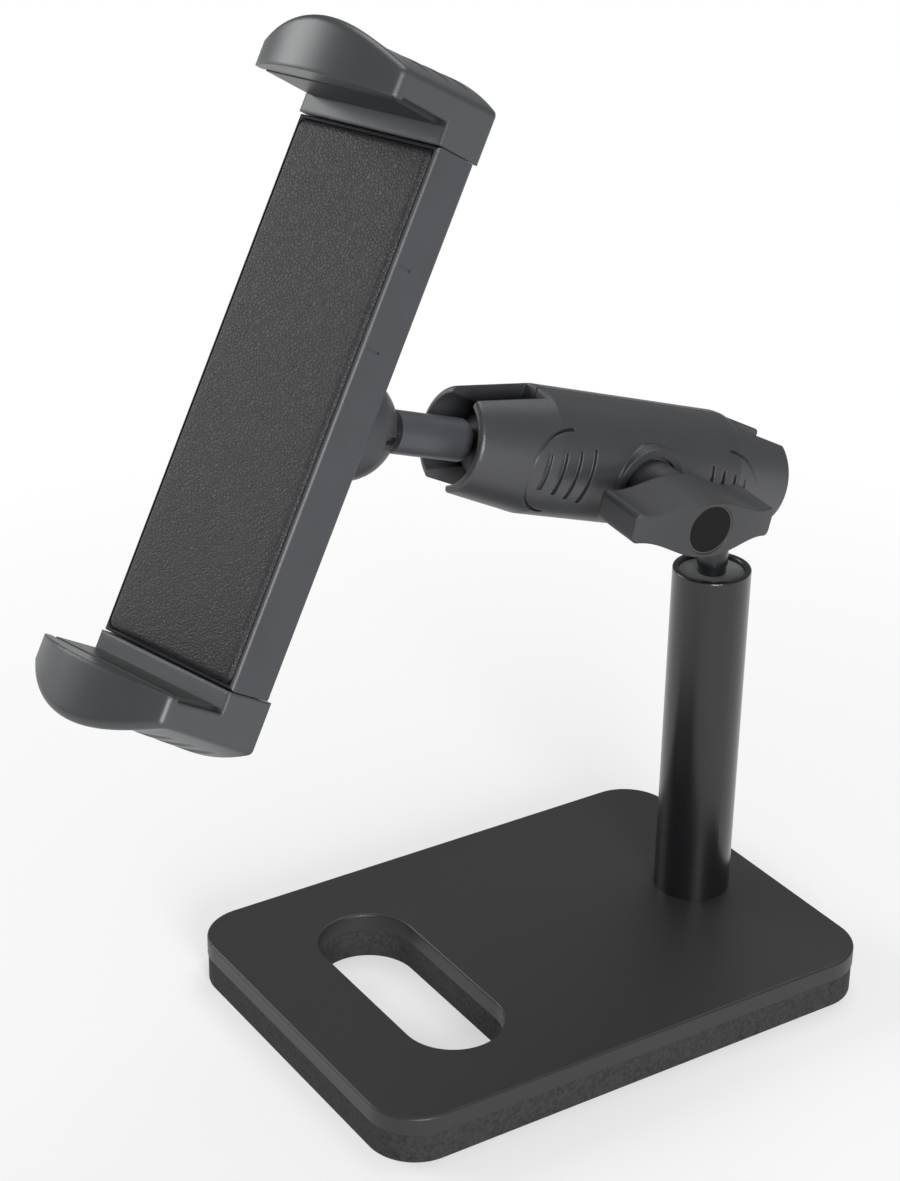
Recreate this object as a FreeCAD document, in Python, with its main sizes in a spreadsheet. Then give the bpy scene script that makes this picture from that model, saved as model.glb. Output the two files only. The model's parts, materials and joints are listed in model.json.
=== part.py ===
# Tablet desk stand: a weighted base plate with a slot, a round post, a double ball arm
# clamped by a wing knob, and a spring tablet clamp on a third ball.
# Millimetres. The origin is the centre of the base's underside, +Z is up, the slot end
# of the base faces -Y and the post stands at the +Y end.
import FreeCAD, Part
import math
import os
import re

import Sketcher

V = FreeCAD.Vector

# How finely the lines of the coils are laid: points for each turn, and for an end eye
ARM_SPRING_STEPS = 24
JAW_SPRING_STEPS = 16
EYE_STEPS = 12

# Driving dimensions, one row each in the sheet
SIZES = {
    # base
    "plate_w": 127.5, "plate_l": 180.0, "plate_thick": 6.0, "plate_corner": 16.0,
    "plate_edge": 0.8, "pad_thick": 10.0, "pad_inset": 0.3,
    "slot_l": 81.0, "slot_w": 32.0, "slot_y": -46.0,
    # post
    "post_y": 65.0, "post_d": 25.0, "post_wall": 2.0, "post_len": 116.0, "post_edge": 0.6,
    "plug_len": 18.0, "plug_drop": 1.5, "plug_fit": 0.02,
    "screw_d": 8.0, "screw_head_d": 15.4, "screw_bite": 14.0, "screw_fit": 0.05,
    "screw_key": 5.0, "screw_key_deep": 3.2,
    # lower ball and its stud
    "ball_d": 24.0, "ball_height": 32.0, "ball_play": 0.05, "ball_bore_deep": 16.0,
    "stud_d": 9.8, "stud_foot_d": 9.0, "stud_foot": 3.0, "stud_core_d": 7.0,
    "stud_thread_d": 8.0, "stud_bite": 13.0, "stud_gap": 0.1, "core_fit": 0.03,
    "neck_clear": 0.3, "bore_spare": 0.5,
    # arm
    "arm_pitch": 18.0, "arm_roll": 4.2, "arm_centres": 87.0, "arm_reach": 17.1,
    "arm_r": 19.1, "arm_corner": 1.6, "arm_wall": 3.5, "arm_end_r": 15.2,
    "arm_taper_at": 35.0, "arm_shift": 0.9,
    "arm_cavity": 27.5, "arm_parting": 0.4, "window_w": 11.2, "post_window_w": 13.4,
    "window_back": 6.6,
    "lip_out": 5.0, "lip_r": 11.0, "mouth_r": 13.6,
    "bolt_d": 8.0, "bolt_fit": 0.3, "bolt_head_af": 13.0, "bolt_head_thick": 5.3,
    "bolt_head_proud": 0.6, "bolt_head_fit": 0.15,
    "boss_r": 9.0, "spring_room": 15.0, "spring_wire": 1.4, "spring_r": 6.6,
    "spring_turns": 4.0, "spring_seat": 0.3, "bolt_tip": 1.0,
    "ring_r": 12.0, "ring_hole_r": 9.3, "ring_top": 20.0, "ring_floor": 17.6,
    "grille_pitch_out": 5.3, "grille_first_out": 22.7, "grille_pitch_in": 4.6,
    "grille_first_in": 23.6, "grille_wide": 1.5, "grille_deep": 1.3,
    "grille_tall": 17.0, "grille_drop": 0.3, "grille_less": 2.0,
    "arc_r": 13.2, "arc_at": 30.8, "arc_drop": 0.8, "arc_wide": 0.9,
    # wing knob
    "knob_turn": 8.0, "knob_washer": 1.0, "knob_washer_r": 8.6, "knob_nose_r": 8.4,
    "knob_back": 29.5, "knob_front": 50.0, "knob_sweep": 3.7, "knob_half": 25.3,
    "knob_hub_h": 8.6, "knob_root": 8.25, "knob_root_h": 7.4, "knob_neck": 17.5, "knob_neck_h": 4.6,
    "knob_tip_h": 4.9, "knob_corner": 1.6, "knob_gap": 0.1,
    "cap_r": 7.6, "cap_thick": 1.6, "cap_sink": 0.5, "cap_fit": 0.04,
    "insert_r": 6.4, "insert_len": 16.0, "insert_fit": 0.05,
    # stem and its small ball
    "stem_len": 56.0, "stem_d": 12.6, "stem_start": 13.3, "stem_stop": 17.0,
    "stem_round": 1.8, "stem_neck_d": 8.0, "stem_core_d": 7.0,
    "small_ball_d": 20.0, "small_bore_deep": 14.0,
    # holder body
    "holder_turn": 8.55, "holder_lean": 30.75, "holder_roll": 3.4, "ball_depth": 30.0,
    "body_w": 56.4, "body_l": 152.0, "body_thick": 15.0, "seam_depth": 7.4,
    "body_edge": 1.6, "skin": 2.6, "side_wall": 4.0,
    "pad_rim_side": 1.4, "pad_rim_end": 1.3, "pad_proud": 0.6, "pad_deep": 2.6, "pad_play": 0.3,
    "pad_edge": 1.0,
    "dome_r": 15.8, "dome_wall": 3.7, "dome_flare": 3.5, "seat_front": 8.5,
    "seat_fit": 0.05, "seat_step": 0.3, "mouth_angle": 36.0,
    "notch_w": 4.2, "notch_deep": 9.0,
    "retainer_flange_r": 15.0, "retainer_flange": 1.6, "retainer_tail": 6.0,
    "anchor_r": 2.2, "anchor_gap": 0.2, "case_screw_x": 20.0, "case_screw_y": 9.0, "case_screw_r": 1.5,
    "case_screw_head_r": 2.9, "case_screw_head": 1.8, "case_screw_len": 8.0,
    "case_post_r": 3.3,
    "clip_low": 20.0, "clip_high": 43.0, "clip_deep": 0.4, "clip_groove": 0.7,
    "clip_line_low": 0.8, "clip_line_top": 1.7,
    # jaws
    "jaw_corner_back": 15.0, "jaw_crown_back": 7.2,
    "jaw_corner_mid": 13.6, "jaw_crown_mid": 6.2, "top_corner_front": 13.2,
    "bottom_corner_front": 14.8, "jaw_crown_front": 8.3,
    "jaw_shoulder": 2.0, "jaw_flare": 4.0, "jaw_dome": 8.2,
    "jaw_ledge": 6.6, "jaw_back": 1.2, "top_lip": 20.6, "bottom_lip": 18.8, "jaw_gap": 0.3,
    "jaw_edge": 1.0, "jaw_fold": 2.4,
    "lip_thick": 2.6, "lip_hook": 1.0,
    "grip_at": -1.0, "grip_pitch": 8.0, "grip_wide": 6.0, "grip_deep": 1.6,
    "grip_span": 44.0,
    "liner_thick": 1.3, "liner_side": 2.2, "liner_front": 0.4,
    "slide_side": 2.2, "slide_thick": 1.5, "slide_slot": 17.0, "slide_inner": 17.0,
    "slide_bridge": 39.0, "slide_grip": 11.0, "slide_play": 0.3, "slide_depth": 8.0,
    "peg_r": 1.5, "peg_y": 42.5, "peg_h": 2.6,
    "jaw_screw_x": 14.0, "jaw_screw_r": 1.5, "jaw_screw_head_r": 2.8,
    "jaw_screw_head": 1.6, "jaw_screw_in": 4.0, "jaw_screw_up": 5.0, "sink_fit": 0.1,
    "coil_wire": 0.8, "coil_r": 2.3, "coil_turns": 9.0, "coil_hook_r": 2.9,
    "coil_drop": 0.5, "coil_low": 2.1, "coil_lead": 1.6, "coil_open": 70.0,
    "coil_early": 0.06, "anchor_y": 19.5,
}

doc = FreeCAD.newDocument("tablet_desk_stand")
sheet = doc.addObject("Spreadsheet::Sheet", "sizes")
for row, (alias, value) in enumerate(SIZES.items(), start=1):
    sheet.set(f"A{row}", alias)
    sheet.set(f"B{row}", str(value))
    sheet.setAlias(f"B{row}", alias)
doc.recompute()


class SheetSizes:
    """The sheet's numbers by name, for shapes and places worked out in code."""

    def __getattr__(self, alias):
        return float(sheet.get(alias))


s = SheetSizes()
nodes = []


def ex(text):
    """An expression in which every size name reads its sheet cell."""
    return re.sub(r"[a-z_]+[a-z_0-9]*",
                  lambda m: f"sizes.{m[0]}" if m[0] in SIZES else m[0], str(text))


def bind(obj, **expressions):
    for prop, text in expressions.items():
        obj.setExpression(prop, ex(text))
    return obj


def node(obj, label, placement=None):
    """Give a finished piece its name and place, and keep it for writing."""
    obj.Label = label
    if placement is not None:
        obj.Placement = placement
    nodes.append(obj)
    return obj


# Frames of the tilted groups

def frame(origin, x, y, z):
    matrix = FreeCAD.Matrix(x.x, y.x, z.x, origin.x,
                            x.y, y.y, z.y, origin.y,
                            x.z, y.z, z.z, origin.z, 0, 0, 0, 1)
    return FreeCAD.Placement(matrix)


def turn_about(vector, axis, degrees):
    return FreeCAD.Rotation(axis, degrees).multVec(vector)


base_top = s.pad_thick + s.plate_thick
post_top = base_top + s.post_len
lower_ball_at = V(0, s.post_y, post_top + s.ball_height)
pitch = math.radians(s.arm_pitch)
along_arm = V(0, -math.cos(pitch), math.sin(pitch))
bolt_axis = turn_about(V(1, 0, 0), along_arm, -s.arm_roll)
over_arm = along_arm.cross(bolt_axis)
arm_mid = lower_ball_at + along_arm * (s.arm_centres / 2)
upper_ball_at = lower_ball_at + along_arm * s.arm_centres
small_ball_at = upper_ball_at + along_arm * s.stem_len

lean = math.radians(s.holder_lean)
swing = math.radians(s.holder_turn)
pad_normal = V(math.sin(swing) * math.cos(lean), -math.cos(swing) * math.cos(lean),
               math.sin(lean))
level_across = V(math.cos(swing), math.sin(swing), 0)
across = turn_about(level_across, pad_normal, s.holder_roll)
along = pad_normal.cross(across)
pad_centre = small_ball_at + pad_normal * s.ball_depth

POST = FreeCAD.Placement(V(0, s.post_y, 0), FreeCAD.Rotation())
ARM = frame(arm_mid, along_arm, bolt_axis, over_arm)
KNOB = frame(arm_mid, turn_about(along_arm, bolt_axis, s.knob_turn),
             turn_about(over_arm, bolt_axis, s.knob_turn) * -1, bolt_axis)
STEM = frame(upper_ball_at, bolt_axis, along_arm.cross(bolt_axis), along_arm)
HOLDER = frame(pad_centre, across, along, pad_normal)
# The holder frame turned half round its normal, for the lower jaw's pieces
HOLDER_LOW = frame(pad_centre, across * -1, along * -1, pad_normal)


# Widths and lengths that follow the holder body

PAD_W = "(body_w - 2 * pad_rim_side)"
PAD_L = "(body_l - 2 * pad_rim_end)"
LINER_W = "(body_w - 2 * liner_side)"
SLIDE_W = "(body_w - 2 * side_wall - 2 * slide_side)"


# Solids from primitives. Cutters run 1 mm or more past the faces that they open.

AXES = {
    "z": FreeCAD.Rotation(),
    "x": FreeCAD.Rotation(V(0, 1, 0), 90),
    "y": FreeCAD.Rotation(V(1, 0, 0), -90),
}


def primitive(kind, name, at, axis="z", **sizes):
    """A Part primitive whose sizes and corner or centre are bound to the sheet."""
    obj = doc.addObject(f"Part::{kind}", name)
    obj.Placement = FreeCAD.Placement(V(), AXES[axis])
    bind(obj, **sizes)
    for letter, text in zip("xyz", at):
        if str(text) != "0":
            bind(obj, **{f"Placement.Base.{letter}": text})
    return obj


def box(name, low, size):
    return primitive("Box", name, low, Length=size[0], Width=size[1], Height=size[2])


def rod(name, at, axis, radius, length):
    return primitive("Cylinder", name, at, axis, Radius=radius, Height=length)


def cone(name, at, axis, radius_start, radius_stop, length):
    return primitive("Cone", name, at, axis, Radius1=radius_start, Radius2=radius_stop,
                     Height=length)


def ball(name, at, radius):
    return primitive("Sphere", name, at, Radius=radius)


def hexagon(name, at, axis, across_flats, length):
    return primitive("Prism", name, at, axis, Circumradius=f"({across_flats}) / sqrt(3)",
                     Height=length)


def fuse(name, *shapes):
    obj = doc.addObject("Part::MultiFuse", name)
    obj.Shapes = list(shapes)
    obj.Refine = True
    return obj


def common(name, *shapes):
    obj = doc.addObject("Part::MultiCommon", name)
    obj.Shapes = list(shapes)
    return obj


def cut(name, base, *tools):
    obj = doc.addObject("Part::Cut", name)
    obj.Base = base
    obj.Tool = tools[0] if len(tools) == 1 else fuse(f"{name}_tools", *tools)
    obj.Refine = True
    return obj


# Solids from sketches

def new_sketch(body, name, role="XY_Plane", offset="0"):
    sketch = body.newObject("Sketcher::SketchObject", name)
    plane = [f for f in body.Origin.OriginFeatures if f.Role == role][0]
    sketch.AttachmentSupport = [(plane, "")]
    sketch.MapMode = "FlatFace"
    if str(offset) != "0":
        bind(sketch, **{"AttachmentOffset.Base.z": offset})
    return sketch


def pin_point(sketch, geometry, end, x, y):
    """Hold one end of a sketch line at expressions x and y from the origin."""
    for kind, text, axis_line in (("DistanceX", x, -2), ("DistanceY", y, -1)):
        if str(text) == "0":
            sketch.addConstraint(Sketcher.Constraint("PointOnObject", geometry, end,
                                                     axis_line))
            continue
        start = sketch.getPoint(geometry, end)
        value = start.x if kind == "DistanceX" else start.y
        index = sketch.addConstraint(Sketcher.Constraint(kind, -1, 1, geometry, end,
                                                         value))
        sketch.setExpression(f"Constraints[{index}]", ex(text))


def outline(sketch, points):
    """A closed chain of straight lines through corners given as expressions."""
    rough = [V(math.cos(i / len(points) * math.tau), math.sin(i / len(points) * math.tau))
             for i in range(len(points))]
    first = sketch.GeometryCount
    for i in range(len(points)):
        sketch.addGeometry(Part.LineSegment(rough[i] * 10, rough[(i + 1) % len(points)] * 10))
    for i in range(len(points)):
        follower = first + (i + 1) % len(points)
        sketch.addConstraint(Sketcher.Constraint("Coincident", first + i, 2, follower, 1))
    for i, (x, y) in enumerate(points):
        pin_point(sketch, first + i, 1, x, y)


def circle(sketch, x, y, radius):
    index = sketch.addGeometry(Part.Circle(V(1, 1), V(0, 0, 1), 1))
    pin_point(sketch, index, 3, x, y)
    size = sketch.addConstraint(Sketcher.Constraint("Radius", index, 1.0))
    sketch.setExpression(f"Constraints[{size}]", ex(radius))


def rectangle(sketch, width, length, y="0"):
    half_w, half_l = f"({width}) / 2", f"({length}) / 2"
    outline(sketch, [(f"-{half_w}", f"{y} - {half_l}"), (half_w, f"{y} - {half_l}"),
                     (half_w, f"{y} + {half_l}"), (f"-{half_w}", f"{y} + {half_l}")])


def pad(body, sketch, length, down=False):
    feature = body.newObject("PartDesign::Pad", f"{sketch.Name}_pad")
    feature.Profile = sketch
    feature.Reversed = down
    return bind(feature, Length=length)


def pocket(body, sketch, length, upward=False):
    """Cut a sketch out of the body: below its plane, or above it when upward."""
    feature = body.newObject("PartDesign::Pocket", f"{sketch.Name}_pocket")
    feature.Profile = sketch
    feature.Reversed = upward
    before = feature.BaseFeature.Shape.Volume if feature.BaseFeature else 0
    bind(feature, Length=length)
    doc.recompute()
    if feature.Shape.Volume > before - 1e-3:
        raise RuntimeError(f"{feature.Name} cuts nothing")
    return feature


def revolve(label, points, placement):
    """A turned piece: its half outline given as radius and height, spun about Z."""
    body = doc.addObject("PartDesign::Body", label)
    sketch = new_sketch(body, f"{label}_profile", "XZ_Plane")
    outline(sketch, points)
    feature = body.newObject("PartDesign::Revolution", f"{label}_turned")
    feature.Profile = sketch
    feature.ReferenceAxis = (sketch, ["V_Axis"])
    feature.Angle = 360
    doc.recompute()
    body.Placement = placement
    return body


def edges_where(shape, test):
    return [f"Edge{i}" for i, edge in enumerate(shape.Edges, start=1) if test(edge)]


def soften(body, kind, size, test):
    """Fillet or chamfer the edges of the body's last feature that pass the test."""
    doc.recompute()
    last = body.Tip
    names = edges_where(last.Shape, test)
    if not names:
        raise RuntimeError(f"no edge of {body.Name} to soften")
    feature = body.newObject(f"PartDesign::{kind}", f"{last.Name}_{kind.lower()}")
    feature.Base = (last, names)
    bind(feature, **{"Radius" if kind == "Fillet" else "Size": size})
    doc.recompute()
    return feature


def upright(edge):
    """Whether an edge runs straight along Z."""
    ends = [v.Point for v in edge.Vertexes]
    return (len(ends) == 2 and abs(ends[0].x - ends[1].x) < 1e-6
            and abs(ends[0].y - ends[1].y) < 1e-6)


def level_at(height):
    """A test for edges that lie flat at one height."""
    def test(edge):
        limits = edge.BoundBox
        return abs(limits.ZMin - height) < 1e-4 and abs(limits.ZMax - height) < 1e-4
    return test


# Base

def slot_outline(sketch, length, width, y):
    """A round-ended slot along X."""
    reach = f"(({length}) - ({width})) / 2"
    for sign, start, stop in ((1, -math.pi / 2, math.pi / 2),
                              (-1, math.pi / 2, 3 * math.pi / 2)):
        arc = Part.ArcOfCircle(Part.Circle(V(sign * 5, -1), V(0, 0, 1), 2), start, stop)
        sketch.addGeometry(arc)
        pin_point(sketch, sketch.GeometryCount - 1, 3,
                  reach if sign > 0 else f"-{reach}", y)
    sketch.addGeometry(Part.LineSegment(V(-5, 1), V(5, 1)))
    sketch.addGeometry(Part.LineSegment(V(5, -3), V(-5, -3)))
    for line, start, stop in ((2, (1, 1), (0, 2)), (3, (0, 1), (1, 2))):
        sketch.addConstraint(Sketcher.Constraint("Tangent", line, 1, *start))
        sketch.addConstraint(Sketcher.Constraint("Tangent", line, 2, *stop))
    sketch.addConstraint(Sketcher.Constraint("Equal", 0, 1))
    size = sketch.addConstraint(Sketcher.Constraint("Radius", 0, 2.0))
    sketch.setExpression(f"Constraints[{size}]", ex(f"({width}) / 2"))


def base_sheet(label, inset, low, thick):
    """One layer of the base: a rounded rectangle with the slot through it."""
    body = doc.addObject("PartDesign::Body", label)
    plan = new_sketch(body, f"{label}_plan", offset=low)
    rectangle(plan, f"plate_w - 2 * {inset}", f"plate_l - 2 * {inset}")
    pad(body, plan, thick)
    soften(body, "Fillet", f"plate_corner - {inset}", upright)
    slot = new_sketch(body, f"{label}_slot", offset=low)
    slot_outline(slot, "slot_l", "slot_w", "slot_y")
    pocket(body, slot, thick, upward=True)
    return body


def make_base():
    node(base_sheet("base_pad", "pad_inset", "0", "pad_thick"), "base_pad")
    plate = base_sheet("base_plate", "0", "pad_thick", "plate_thick")
    hole = new_sketch(plate, "post_hole", offset="pad_thick")
    circle(hole, "0", "post_y", "screw_d / 2 + screw_fit")
    pocket(plate, hole, "plate_thick", upward=True)
    low = s.pad_thick

    def countersunk(edge):
        reach = min(edge.BoundBox.XLength, edge.BoundBox.YLength)
        return level_at(low)(edge) and abs(reach - s.screw_d) < 0.5

    def top_rim(edge):
        reach = max(edge.BoundBox.XLength, edge.BoundBox.YLength)
        return level_at(base_top)(edge) and reach > s.screw_d + 1
    soften(plate, "Chamfer", "screw_head_d / 2 - screw_d / 2 - screw_fit", countersunk)
    soften(plate, "Fillet", "plate_edge", top_rim)
    node(plate, "base_plate")


# Post

def make_post():
    head = "(screw_head_d - screw_d) / 2"
    screw = revolve("post_screw_turned", [
        ("0", "pad_thick"), ("screw_head_d / 2", "pad_thick"),
        ("screw_d / 2", f"pad_thick + {head}"),
        ("screw_d / 2", "pad_thick + plate_thick + screw_bite"),
        ("0", "pad_thick + plate_thick + screw_bite")], FreeCAD.Placement())
    key = hexagon("post_screw_key", ("0", "0", "pad_thick"), "z", "screw_key", "screw_key_deep")
    node(cut("post_screw_cut", screw, key), "post_screw", POST)

    low = "pad_thick + plate_thick"
    tube = revolve("post_tube", [
        ("post_d / 2 - post_wall", low), ("post_d / 2", low),
        ("post_d / 2", f"{low} + post_len"), ("post_d / 2 - post_wall", f"{low} + post_len")],
        POST)
    soften(tube, "Fillet", "post_edge", level_at(post_top))
    node(tube, "post_tube")

    bore = "post_d / 2 - post_wall - plug_fit"
    foot = revolve("post_foot_plug", [
        ("screw_d / 2 + screw_fit", low), (bore, low), (bore, f"{low} + plug_len"),
        ("screw_d / 2 + screw_fit", f"{low} + plug_len")], POST)
    node(foot, "post_foot_plug")
    top = f"{low} + post_len - plug_drop"
    cap = revolve("post_top_plug", [
        ("stud_thread_d / 2 + screw_fit", f"{top} - plug_len"), (bore, f"{top} - plug_len"),
        (bore, top), ("stud_thread_d / 2 + screw_fit", top)], POST)
    node(cap, "post_top_plug")


# Balls

def bored_ball(label, height, diameter, core, deep, placement, from_top=False):
    """A round ball with a blind bore for the metal core that carries it."""
    sphere = ball(f"{label}_round", ("0", "0", height), f"{diameter} / 2")
    start = f"{height} - {diameter} / 2 - 1"
    if from_top:
        start = f"{height} + {diameter} / 2 - {deep}"
    bore = rod(f"{label}_bore", ("0", "0", start), "z", f"{core} / 2 + core_fit",
               f"{deep} + 1")
    node(cut(f"{label}_cut", sphere, bore), label, placement)


def make_lower_ball():
    top = "pad_thick + plate_thick + post_len"
    seat = f"{top} - plug_drop + stud_gap"
    neck_top = f"{top} + ball_height - ball_d / 2 - neck_clear"
    core_top = f"{top} + ball_height - ball_d / 2 + ball_bore_deep - bore_spare"
    stud = revolve("lower_stud", [
        ("0", f"{seat} - stud_bite"), ("stud_thread_d / 2", f"{seat} - stud_bite"),
        ("stud_thread_d / 2", seat), ("stud_foot_d / 2", seat),
        ("stud_foot_d / 2", f"{seat} + stud_foot"), ("stud_d / 2", f"{seat} + stud_foot"),
        ("stud_d / 2", neck_top), ("stud_core_d / 2", neck_top),
        ("stud_core_d / 2", core_top), ("0", core_top)], POST)
    node(stud, "lower_stud")
    bored_ball("lower_ball", f"({top} + ball_height)", "ball_d", "stud_core_d",
               "ball_bore_deep", POST)


# Arm: two clamping shells along X with the clamping bolt along Y

def arm_blank(label, side):
    """Half of the round-ended arm, on one side of the parting plane."""
    end = "arm_centres / 2 + arm_reach"
    body = doc.addObject("PartDesign::Body", f"{label}_form")
    sketch = new_sketch(body, f"{label}_form_profile")
    outline(sketch, [(f"arm_shift - ({end})", "0"), (f"arm_shift + {end}", "0"),
                     (f"arm_shift + {end}", "arm_end_r"), ("arm_taper_at", "arm_r"),
                     ("-arm_taper_at", "arm_r"), (f"arm_shift - ({end})", "arm_end_r")])
    feature = body.newObject("PartDesign::Revolution", f"{label}_form_turned")
    feature.Profile = sketch
    feature.ReferenceAxis = (sketch, ["H_Axis"])
    feature.Angle = 360
    far = s.arm_centres / 2 + s.arm_reach
    soften(body, "Fillet", "arm_corner",
           lambda edge: abs(abs(edge.BoundBox.Center.x - s.arm_shift) - far) < 1e-3)
    low = "arm_parting / 2" if side > 0 else "-arm_r - 1"
    half = box(f"{label}_half", (f"-({end}) - 2", low, "-arm_r - 1"),
               (f"2 * ({end}) + 4", "arm_r + 1 - arm_parting / 2", "2 * arm_r + 2"))
    return common(f"{label}_blank", body, half)


def arm_cutters(label, side):
    """The sockets, mouths, windows and inner room that a shell leaves open."""
    half = "arm_centres / 2"
    room = rod(f"{label}_room", ("-arm_cavity", "0", "0"), "x", "arm_r - arm_wall",
               "2 * arm_cavity")
    low = "spring_room / 2" if side > 0 else "-arm_r"
    boss = rod(f"{label}_boss", ("0", low, "0"), "y", "boss_r", "arm_r - spring_room / 2")
    cutters = [cut(f"{label}_hollow", room, boss)]
    long = "window_back + arm_reach + 2"
    for end in (1, -1):
        name = f"{label}_{'out' if end > 0 else 'in'}"
        cutters.append(ball(f"{name}_socket", (f"{end} * {half}", "0", "0"),
                            "ball_d / 2 + ball_play"))
        start = f"{half} + lip_out"
        mouth = cone(f"{name}_mouth", ("0", "0", "0"), "x", "lip_r",
                     "mouth_r", "arm_reach - lip_out + arm_shift + 1")
        mouth.Placement = FreeCAD.Placement(V(), FreeCAD.Rotation(V(0, 1, 0), 90 * end))
        bind(mouth, **{"Placement.Base.x": f"{end} * ({start})"})
        cutters.append(mouth)
        back = f"{half} - window_back"
        low = back if end > 0 else f"-({back}) - ({long})"
        wide = "window_w" if end > 0 else "post_window_w"
        cutters.append(box(f"{name}_window", (low, f"-{wide} / 2", "-arm_r - 1"),
                           (long, wide, "2 * arm_r + 2")))
    return cutters


def grille():
    """Four upright grooves and one arc groove toward each end, of even depth."""
    strokes = []
    for end in (1, -1):
        side = "out" if end > 0 else "in"
        name = f"grille_{side}"
        for i in range(4):
            at = f"{end} * (grille_first_{side} + {i} * grille_pitch_{side})"
            tall = f"(grille_tall - {i} * grille_less)"
            strokes.append(box(f"{name}_{i}", (f"{at} - grille_wide / 2", "0",
                                               f"-{tall} / 2 - grille_drop"),
                               ("grille_wide", "arm_r + 1", tall)))
        outer = rod(f"{name}_arc_outer", (f"{end} * arc_at", "0", "-arc_drop"), "y",
                    "arc_r + arc_wide / 2", "arm_r + 1")
        inner = rod(f"{name}_arc_inner", (f"{end} * arc_at", "-1", "-arc_drop"), "y",
                    "arc_r - arc_wide / 2", "arm_r + 3")
        low = "arc_at" if end > 0 else "-arc_at - 2 * arc_r"
        half = box(f"{name}_arc_half", (low, "0", "-arc_r - arc_drop - 1"),
                   ("2 * arc_r", "arm_r + 2", "2 * arc_r + 2"))
        ring = cut(f"{name}_arc_ring", outer, inner)
        strokes.append(common(f"{name}_arc", ring, half))
    core = rod("grille_core", ("-arm_centres", "0", "0"), "x", "arm_r - grille_deep",
               "2 * arm_centres")
    return cut("grille_strokes", fuse("grille_all", *strokes), core)


def make_arm():
    front = fuse("arm_front_body", arm_blank("arm_front", 1),
                 rod("arm_front_ring", ("0", "arm_r - arm_wall", "0"), "y", "ring_r",
                     "ring_top - arm_r + arm_wall"))
    through = rod("arm_front_bolt_hole", ("0", "0", "0"), "y", "bolt_d / 2 + bolt_fit",
                  "ring_top + 1")
    seat = rod("arm_front_ring_hole", ("0", "ring_floor", "0"), "y", "ring_hole_r", "arm_r")
    front = cut("arm_front_cut", front, *arm_cutters("arm_front", 1), through, seat, grille())
    node(front, "arm_front_shell", ARM)

    rear = fuse("arm_rear_body", arm_blank("arm_rear", -1),
                rod("arm_rear_ring", ("0", "-arm_r", "0"), "y", "ring_r", "arm_wall"))
    through = rod("arm_rear_bolt_hole", ("0", "-ring_top", "0"), "y", "bolt_d / 2",
                  "ring_top")
    pocket_low = "-arm_r - 1"
    head_seat = "-arm_r - bolt_head_proud + bolt_head_thick"
    seat = hexagon("arm_rear_head_seat", ("0", pocket_low, "0"), "y",
                   "bolt_head_af + 2 * bolt_head_fit", f"{head_seat} - ({pocket_low})")
    rear = cut("arm_rear_cut", rear, *arm_cutters("arm_rear", -1), through, seat)
    node(rear, "arm_rear_shell", ARM)

    head_low = "-arm_r - bolt_head_proud"
    head = hexagon("clamp_bolt_head", ("0", head_low, "0"), "y", "bolt_head_af",
                   "bolt_head_thick")
    shank = rod("clamp_bolt_shank", ("0", head_low, "0"), "y", "bolt_d / 2",
                f"ring_floor + knob_washer + insert_len - bolt_tip - ({head_low})")
    node(fuse("clamp_bolt_all", head, shank), "clamp_bolt", ARM)

    spring = doc.addObject("Part::Feature", "arm_spring_wire")
    half = s.spring_room / 2 - s.spring_seat - s.spring_wire / 2
    count = int(s.spring_turns * ARM_SPRING_STEPS)
    turn = [i / count for i in range(count + 1)]
    spring.Shape = tube_along([V(s.spring_r * math.cos(t * s.spring_turns * math.tau),
                                 -half + 2 * half * t,
                                 s.spring_r * math.sin(t * s.spring_turns * math.tau))
                               for t in turn], s.spring_wire / 2)
    node(spring, "arm_spring", ARM)

    washer = cut("thrust_washer_cut",
                 rod("thrust_washer_disc", ("0", "ring_floor", "0"), "y", "knob_washer_r",
                     "knob_washer"),
                 rod("thrust_washer_hole", ("0", "ring_floor - 1", "0"), "y",
                     "bolt_d / 2 + bolt_fit", "knob_washer + 2"))
    node(washer, "thrust_washer", ARM)


def tube_along(points, radius, turning=False):
    """One unbroken round wire along a smooth line through the points. A turning section
    follows the line's own bend all the way."""
    curve = Part.BSplineCurve()
    curve.interpolate(points)
    start, direction = points[0], curve.tangent(curve.FirstParameter)[0]
    ring = Part.Wire([Part.Circle(start, direction, radius).toShape()])
    return Part.Wire([curve.toShape()]).makePipeShell([ring], True, turning)


# Wing knob, in its own frame: Z along the bolt, X along the wings

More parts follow.
